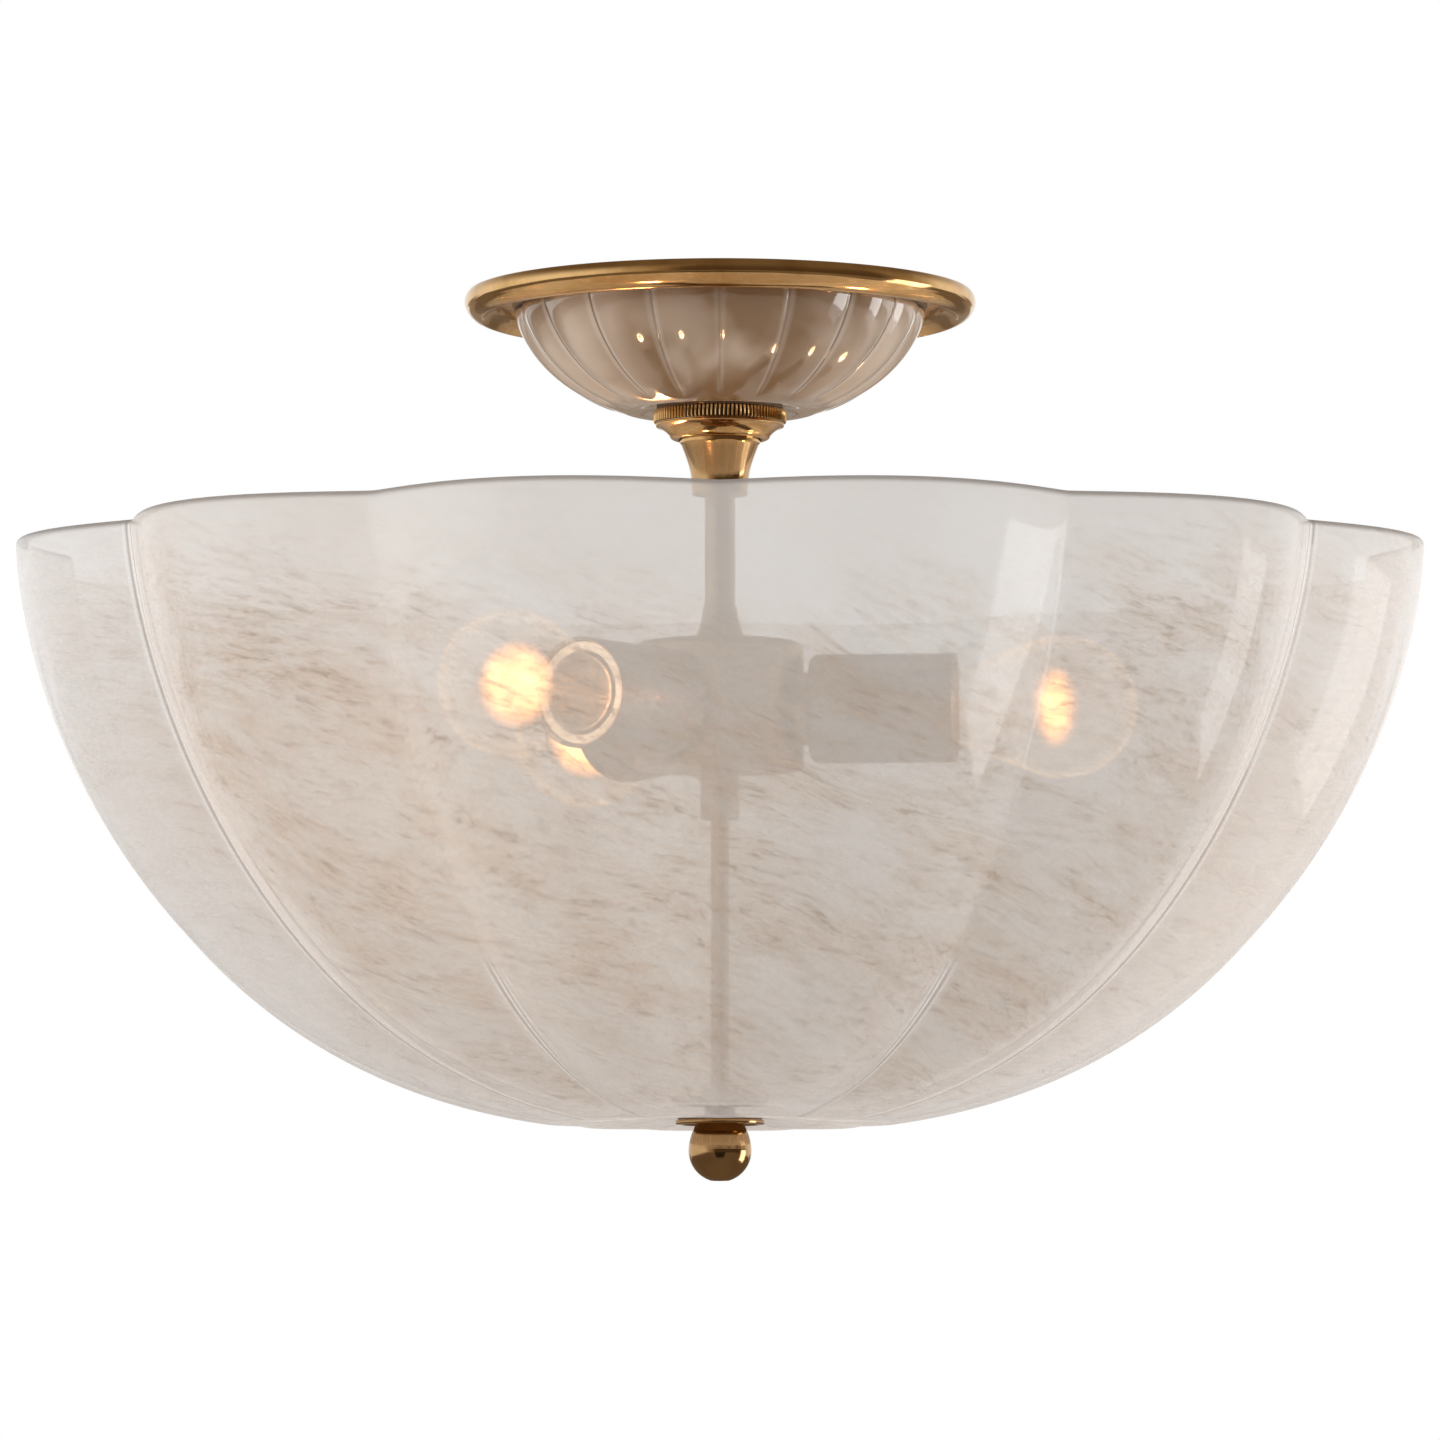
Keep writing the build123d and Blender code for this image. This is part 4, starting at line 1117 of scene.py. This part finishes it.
@dataclass
class Stem(Assembly):
    """The pipe with its trumpet neck, the hub drum, its lid and what hangs below."""

    pipe_radius: float = 5.1
    pipe_bore: float = 3.3
    pipe_top: float = -41.0
    pipe_bottom: float = -126.0
    neck_radius: float = 13.4
    neck_top: float = -47.5
    neck_bottom: float = -68.0
    cone_radius: float = 9.3
    hub_radius: float = 28.0
    hub_top: float = -117.5
    hub_bottom: float = -158.0
    lid: float = 2.0
    spigot: Pair = (20.0, 24.0)
    spigot_height: float = 5.0
    coupling_radius: float = 6.5
    coupling_bottom: float = -176.8
    nipple_top: float = -153.0
    rod_radius: float = 3.0
    rod_top: float = -165.8
    rod_bottom: float = -289.0

    def neck(self) -> None:
        """Makes the trumpet under the ring nut."""
        bore, radius, top, foot = SLIP_BORE, self.neck_radius, self.neck_top, self.neck_bottom
        flare = curve([(9.3, foot), (9.45, -64.0), (10.0, -60.0), (11.2, -55.8), (13.0, -51.0)], 8)[1:]
        rim = [(radius, -50.6), (radius, top - 0.4), (radius - 0.4, top)]
        line = [(bore, foot), (9.0, foot), *flare, *rim, (bore, top), (bore, foot)]
        self.turn("neck_turned", "neck", "stem", Finish.POLISHED_BRASS, line, 160)

    def pipe(self) -> None:
        """Makes the pipe between the neck and the hub."""
        wall, bore, high, low = self.pipe_radius, self.pipe_bore, self.pipe_top, self.pipe_bottom
        line = [(bore, low), (wall, low), (wall, high), (bore, high), (bore, low)]
        self.turn("stem_pipe", "stem_tube", "stem", Finish.STEM_BRASS, line, 72)

    def hub(self) -> None:
        """Makes the cone and the lid with its rounded edge."""
        bore, wide, top = SLIP_BORE, self.cone_radius, self.hub_top
        side = bow((wide, top), (7.0, top + 5.0), (5.8, top + 12.0), 16)[1:]
        cone = [(bore, top), (wide, top), *side, (bore, top + 12.0), (bore, top)]
        self.turn("hub_cone_turned", "hub_cone", "stem", Finish.STEM_BRASS, cone, 120)
        low, foot, radius = self.hub_bottom, self.hub_bottom - self.lid, self.hub_radius
        inner, outer = self.spigot
        high = low + self.spigot_height
        edge = [(radius, foot, 1.4), (radius, low, 0.3)]
        inside = [(outer, low), (outer, high), (inner, high), (inner, low), (bore, low)]
        lid = rounded([(bore, low), (bore, foot), *edge, *inside])
        self.turn("hub_lid_turned", "cluster_cover", "stem", Finish.STEM_BRASS, lid, 180)

    def hanger(self) -> None:
        """Makes the coupling under the lid and the rod."""
        radius, foot, top = self.coupling_radius, self.coupling_bottom, self.hub_bottom - self.lid
        rod, pipe, tip = self.rod_radius, self.pipe_radius, self.nipple_top
        upper = [(radius, top, 0.3), (pipe, top), (pipe, tip, 0.4), (0.0, tip)]
        outside = rounded([(rod, foot), (radius, foot, 1.2), *upper])
        coupling = [(0.0, foot + 11.0), (rod, foot + 11.0), *outside]
        self.turn("coupling_turned", "lower_coupling", "stem", Finish.STEM_BRASS, coupling, 96)
        low, high = self.rod_bottom, self.rod_top
        line = rounded([(0.0, low), (rod, low, 0.6), (rod, high), (0.0, high)])
        self.turn("rod_turned", "lower_rod", "stem", Finish.STEM_BRASS, line, 64)

    def build(self) -> None:
        """Makes the pieces from the neck down to the rod."""
        self.neck()
        self.pipe()
        self.hub()
        self.hanger()


@dataclass
class Lampholder(Assembly):
    """One lampholder on the hub with its lamp, along a level axis."""

    number: int
    angle: float
    height: float = -140.0
    cup_radius: float = 18.2
    cup_start: float = 30.5
    cup_mouth: float = 79.0
    bulb_start: float = 77.5
    bulb_neck: float = 12.6
    bulb_radius: float = 23.8
    bulb_widest: float = 114.5
    bulb_end: float = 139.3
    burner_radius: float = 15.5
    burner_half: float = 10.0
    burner_place: float = 112.0

    def axis(self) -> Turning:
        """Returns the lampholder's own axis, with heights measured from the stem's."""
        angle = math.radians(self.angle)
        return Turning((0.0, 0.0, self.height), (math.cos(angle), math.sin(angle), 0.0))

    def cup(self) -> None:
        """Makes the metal cup with its rolled lip."""
        bore, radius, start, mouth = SLIP_BORE, self.cup_radius, self.cup_start, self.cup_mouth
        inside, floor = radius - 1.0, start + 1.2
        outer = [(bore, start), (radius, start, 3.0), (radius, mouth, 0.45)]
        line = rounded([(bore, floor), *outer, (inside, mouth, 0.45), (inside, floor, 1.5), (bore, floor)], 8)
        number = self.number
        self.turn(f"lamp_cup_{number}", f"socket_cup_{number}", "stem", Finish.CUP_METAL, line, 120)

    def bulb(self) -> None:
        """Makes the lamp's glass, a closed envelope with a rounded end."""
        start, neck, radius, widest = self.bulb_start, self.bulb_neck, self.bulb_radius, self.bulb_widest
        waist = (start + widest) / 2 + 0.2
        shoulder = [(neck, start), (neck + 0.25, start + 5.0), (18.7, waist), (radius - 0.25, widest - 5.0)]
        reach = self.bulb_end - widest
        turns = [math.pi / 2 * step / 24 for step in range(1, 24)]
        end = [(radius * math.cos(turn), widest + reach * math.sin(turn)) for turn in turns]
        line = [(0.0, start), *curve([*shoulder, (radius, widest)], 6), *end, (0.0, self.bulb_end)]
        number, finish = self.number, Finish.LAMP_GLASS
        self.turn(f"lamp_glass_{number}", f"bulb_glass_{number}", f"bulb_{number}", finish, line, 96)

    def burner(self) -> None:
        """Makes the lit burner across the lamp, a flat spheroid."""
        radius, half, middle = self.burner_radius, self.burner_half, self.burner_place
        turns = [math.pi * (step / 20 - 0.5) for step in range(1, 20)]
        side = [(radius * math.cos(turn), middle + half * math.sin(turn)) for turn in turns]
        line = [(0.0, middle - half), *side, (0.0, middle + half)]
        number, finish = self.number, Finish.LAMP_FILAMENT
        self.turn(f"burner_{number}", f"bulb_filament_{number}", f"bulb_{number}", finish, line, 40)

    def build(self) -> None:
        """Makes the cup and the lamp."""
        self.cup()
        self.bulb()
        self.burner()


@dataclass
class Bowl(Assembly):
    """The large lobed bowl of streaked glass."""

    hole: float = 5.1
    seat: float = -275.7
    clamp: float = 16.0
    dimple: float = 42.0
    floor: float = 56.0
    foot: float = -277.8
    wall: float = 4.0

    def section(self, seat: float, foot: float) -> Outline:
        """Returns one skin's line from the hole, over the clamp's seat, down the dimple and to the floor."""
        bends = [(self.clamp, seat, 10.0), (self.dimple, foot, 30.0)]
        return rounded([(self.hole, seat), *bends, (self.floor, foot)])

    def build(self) -> None:
        """Makes the bowl with its dimple and hole."""
        bowl = LobedBowl(
            name="bowl_glass_lobed", lobes=12, columns=28, rows=92, rim_height=-88.3, rim_radius=237.5,
            depth=192.7, depth_power=1.715, side_power=2.542, rim_pinch=0.0762, foot_pinch=0.12,
            foot_height=self.foot, wall=self.wall, flat_radius=18.0, lobed_radius=50.0,
        )
        inner = self.section(self.seat + self.wall, self.foot + self.wall)
        middle = [*reversed(inner), *self.section(self.seat, self.foot)]
        finish = Finish.BOWL_GLASS
        self.settle(bowl.build(middle, self.palette.material(finish)), "shade", finish, "shade_glass")


@dataclass
class Finial(Assembly):
    """The brass dish and the ball under the bowl."""

    plate_bore: float = 3.3
    plate_radius: float = 14.8
    plate_top: float = -276.7
    plate_bottom: float = -277.7
    ball_radius: float = 10.5
    ball_height: float = -286.8
    ball_neck: float = 7.7
    ball_bore: float = 3.08

    def plate(self) -> None:
        """Makes the dish, hollow below and turned down at its edge."""
        bore, radius, top, under = self.plate_bore, self.plate_radius, self.plate_top, self.plate_bottom
        foot = under - 0.6
        edge = [(12.2, under, 0.5), (12.8, foot, 0.3), (radius, foot, 0.6), (radius, top, 0.6)]
        line = rounded([(bore, top), (bore, under), *edge, (bore, top)])
        self.turn("dish_turned", "bottom_plate", "shade", Finish.POLISHED_BRASS, line, 180)

    def ball(self) -> None:
        """Makes the ball, a half sphere below and a taller half above."""
        radius, middle, bore, top = self.ball_radius, self.ball_height, self.ball_bore, self.plate_bottom
        foot = middle - math.sqrt(radius**2 - bore**2)
        side = radius * math.sqrt(0.5)
        below = bow((bore, foot), (side, middle - side), (radius, middle), 40)
        rising = ((radius, 0.0), (10.25, 0.28), (9.55, 0.56), (8.6, 0.82), (self.ball_neck, 1.0))
        above = curve([(reach, middle + share * (top - middle)) for reach, share in rising], 8)[1:]
        line = [*below, *above, (bore, top), below[0]]
        self.turn("ball_turned", "ball_finial", "finial", Finish.POLISHED_BRASS, line, 180)

    def build(self) -> None:
        """Makes the dish and the ball."""
        self.plate()
        self.ball()


@dataclass
class Studio:
    """Floor, dark flag, lamps, sky and camera."""

    camera_place: Triple = (0.0, -3.0, -0.4156)
    camera_pitch: float = 5.185
    lens: float = 225.92
    floor_height: float = -4.0
    floor_size: float = 40.0
    floor_tones: tuple[Triple, Triple] = ((0.84, 0.84, 0.84), (0.88, 0.88, 0.88))
    floor_glossy: Triple = (0.27, 0.21, 0.15)
    flag_place: Triple = (0.0, -1.3, -0.80)
    flag_pitch: float = 60.0
    flag_size: float = 0.8
    flag_tones: tuple[Triple, Triple] = ((0.02, 0.018, 0.015), (0.03, 0.026, 0.02))
    target: Triple = (0.0, 0.0, -0.17)
    lamp_power: float = 22.0
    bulb_power: float = 0.10
    bulb_size: float = 0.010
    bulb_colour: Triple = (1.0, 0.74, 0.48)
    bulb_reach: float = 0.112
    bulb_height: float = -0.140
    level_light: Triple = (0.92, 0.92, 0.92)
    upper_light: Triple = (0.55, 0.55, 0.55)
    room_back: Triple = (0.95, 0.94, 0.92)
    room_side: Triple = (0.42, 0.34, 0.25)
    room_front: Triple = (0.09, 0.06, 0.035)
    room_top: Triple = (0.16, 0.12, 0.08)
    room_low: Triple = (0.30, 0.24, 0.18)

    def camera(self) -> None:
        """Sets the camera at the photograph's angle."""
        data = bpy.data.cameras.new("view")
        data.lens = self.lens
        data.sensor_width = 36.0
        data.clip_end = 60.0
        camera = add_object("view", data)
        camera.location = self.camera_place
        camera.rotation_euler = (math.radians(90.0 + self.camera_pitch), 0.0, 0.0)
        bpy.context.scene.camera = camera

    def floor(self) -> None:
        """Lays the floor, pale to the camera and tan in reflections, and sets up a dark flag in front."""
        stone, graph = new_material("floor")
        colour = graph.blend(graph.noise(graph.place(), 6.0), *self.floor_tones)
        colour = graph.blend(graph.rays()["Is Glossy Ray"], colour, self.floor_glossy)
        graph.finish(graph.surface(colour, Roughness=0.9))
        self.card("floor", (0.0, 0.0, self.floor_height), 0.0, self.floor_size, stone)
        cloth, graph = new_material("flag")
        graph.finish(graph.surface(graph.blend(graph.noise(graph.place(), 40.0), *self.flag_tones)))
        self.card("flag", self.flag_place, self.flag_pitch, self.flag_size, cloth).visible_camera = False

    def card(
        self, name: str, place: Triple, pitch: float, size: float, material: Material
    ) -> Piece:
        """Sets up a square card of the studio, facing its own +Z.

        Args:
            name: the card's name.
            place: its middle, in metres.
            pitch: its turn about X, in degrees.
            size: its width.
            material: what it is made of.

        Returns:
            The card.
        """
        half = size / 2
        mesh = bpy.data.meshes.new(name)
        corners = [(-half, -half, 0), (half, -half, 0), (half, half, 0), (-half, half, 0)]
        mesh.from_pydata(corners, [], [(0, 1, 2, 3)])
        mesh.materials.append(material)
        card = add_object(name, mesh)
        card.location = place
        card.rotation_euler = (math.radians(pitch), 0.0, 0.0)
        return card

    def lamp(self, name: str, place: Triple, size: Pair, shines: bool = False) -> None:
        """Sets up a rectangular lamp that faces the light.

        Args:
            name: the lamp's name.
            place: where it stands, in metres.
            size: its width and height.
            shines: whether it shows in reflections.
        """
        data = bpy.data.lights.new(name, "AREA")
        data.shape = "RECTANGLE"
        data.size, data.size_y = size
        data.energy = self.lamp_power
        lamp = add_object(name, data)
        lamp.visible_glossy = shines
        lamp.location = place
        lamp.rotation_euler = (Vector(self.target) - Vector(place)).to_track_quat("-Z", "Y").to_euler()

    def bulb_light(self, number: int, angle: float) -> None:
        """Lights the glass from inside one lamp.

        Args:
            number: the lamp's number.
            angle: where it stands round the stem, in degrees.
        """
        data = bpy.data.lights.new(f"bulb_light_{number}", "POINT")
        data.energy = self.bulb_power
        data.shadow_soft_size = self.bulb_size
        data.color = self.bulb_colour
        light = add_object(f"bulb_light_{number}", data)
        turn = math.radians(angle)
        reach = self.bulb_reach
        light.location = (reach * math.cos(turn), reach * math.sin(turn), self.bulb_height)
        light.visible_camera = False

    def sky(self) -> None:
        """Makes the world: white to the camera, even as a light, and in reflections a room, dim in front."""
        world = bpy.data.worlds.new("studio")
        bpy.context.scene.world = world
        world.use_nodes = True
        graph = Graph(world.node_tree)
        parts = graph.parts(graph.add("ShaderNodeTexCoord").outputs["Generated"])
        above = graph.span(parts["Z"], 0.10, 0.75)
        even = graph.blend(above, self.level_light, self.upper_light)
        ahead = graph.total(graph.product(parts["X"], 0.50), graph.product(parts["Y"], -0.87))
        side, front = graph.span(ahead, 0.0, 0.42), graph.span(ahead, 0.42, 0.72)
        low = graph.product(graph.span(parts["Y"], 0.70, 0.88), graph.span(parts["Z"], -0.01, -0.06))
        walls = ((side, self.room_side), (front, self.room_front))
        room = graph.layers(self.room_back, *walls, (above, self.room_top), (low, self.room_low))
        ray = graph.rays()
        seen = graph.math("MAXIMUM", ray["Is Camera Ray"], ray["Is Transmission Ray"])
        colour = graph.layers(even, (ray["Is Glossy Ray"], room), (seen, (1.0, 1.0, 1.0)))
        shown = graph.add("ShaderNodeBackground", {"Color": colour}).outputs[0]
        graph.add("ShaderNodeOutputWorld", {"Surface": shown})

    def build(self) -> None:
        """Sets up the studio."""
        self.camera()
        self.floor()
        self.sky()
        self.lamp("window", (3.0, 0.35, -1.0), (1.3, 1.5), shines=True)
        self.lamp("front_soft", (-1.6, -3.2, 0.9), (2.4, 1.6))
        self.lamp("left_soft", (-3.2, 0.4, 0.1), (1.6, 1.6))
        for number, angle in enumerate(SOCKET_ANGLES, start=1):
            self.bulb_light(number, angle)


def main() -> None:
    """Builds the light's looks round the frame."""
    logging.basicConfig(level=logging.INFO, format="%(message)s")
    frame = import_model()
    bpy.context.scene.view_settings.view_transform = "Standard"
    palette = Palette()
    palette.dress(frame)
    Canopy(palette).build()
    Stem(palette).build()
    for number, angle in enumerate(SOCKET_ANGLES, start=1):
        Lampholder(palette, number, angle).build()
    Bowl(palette).build()
    Finial(palette).build()
    Studio().build()


if __name__ == "__main__":
    main()
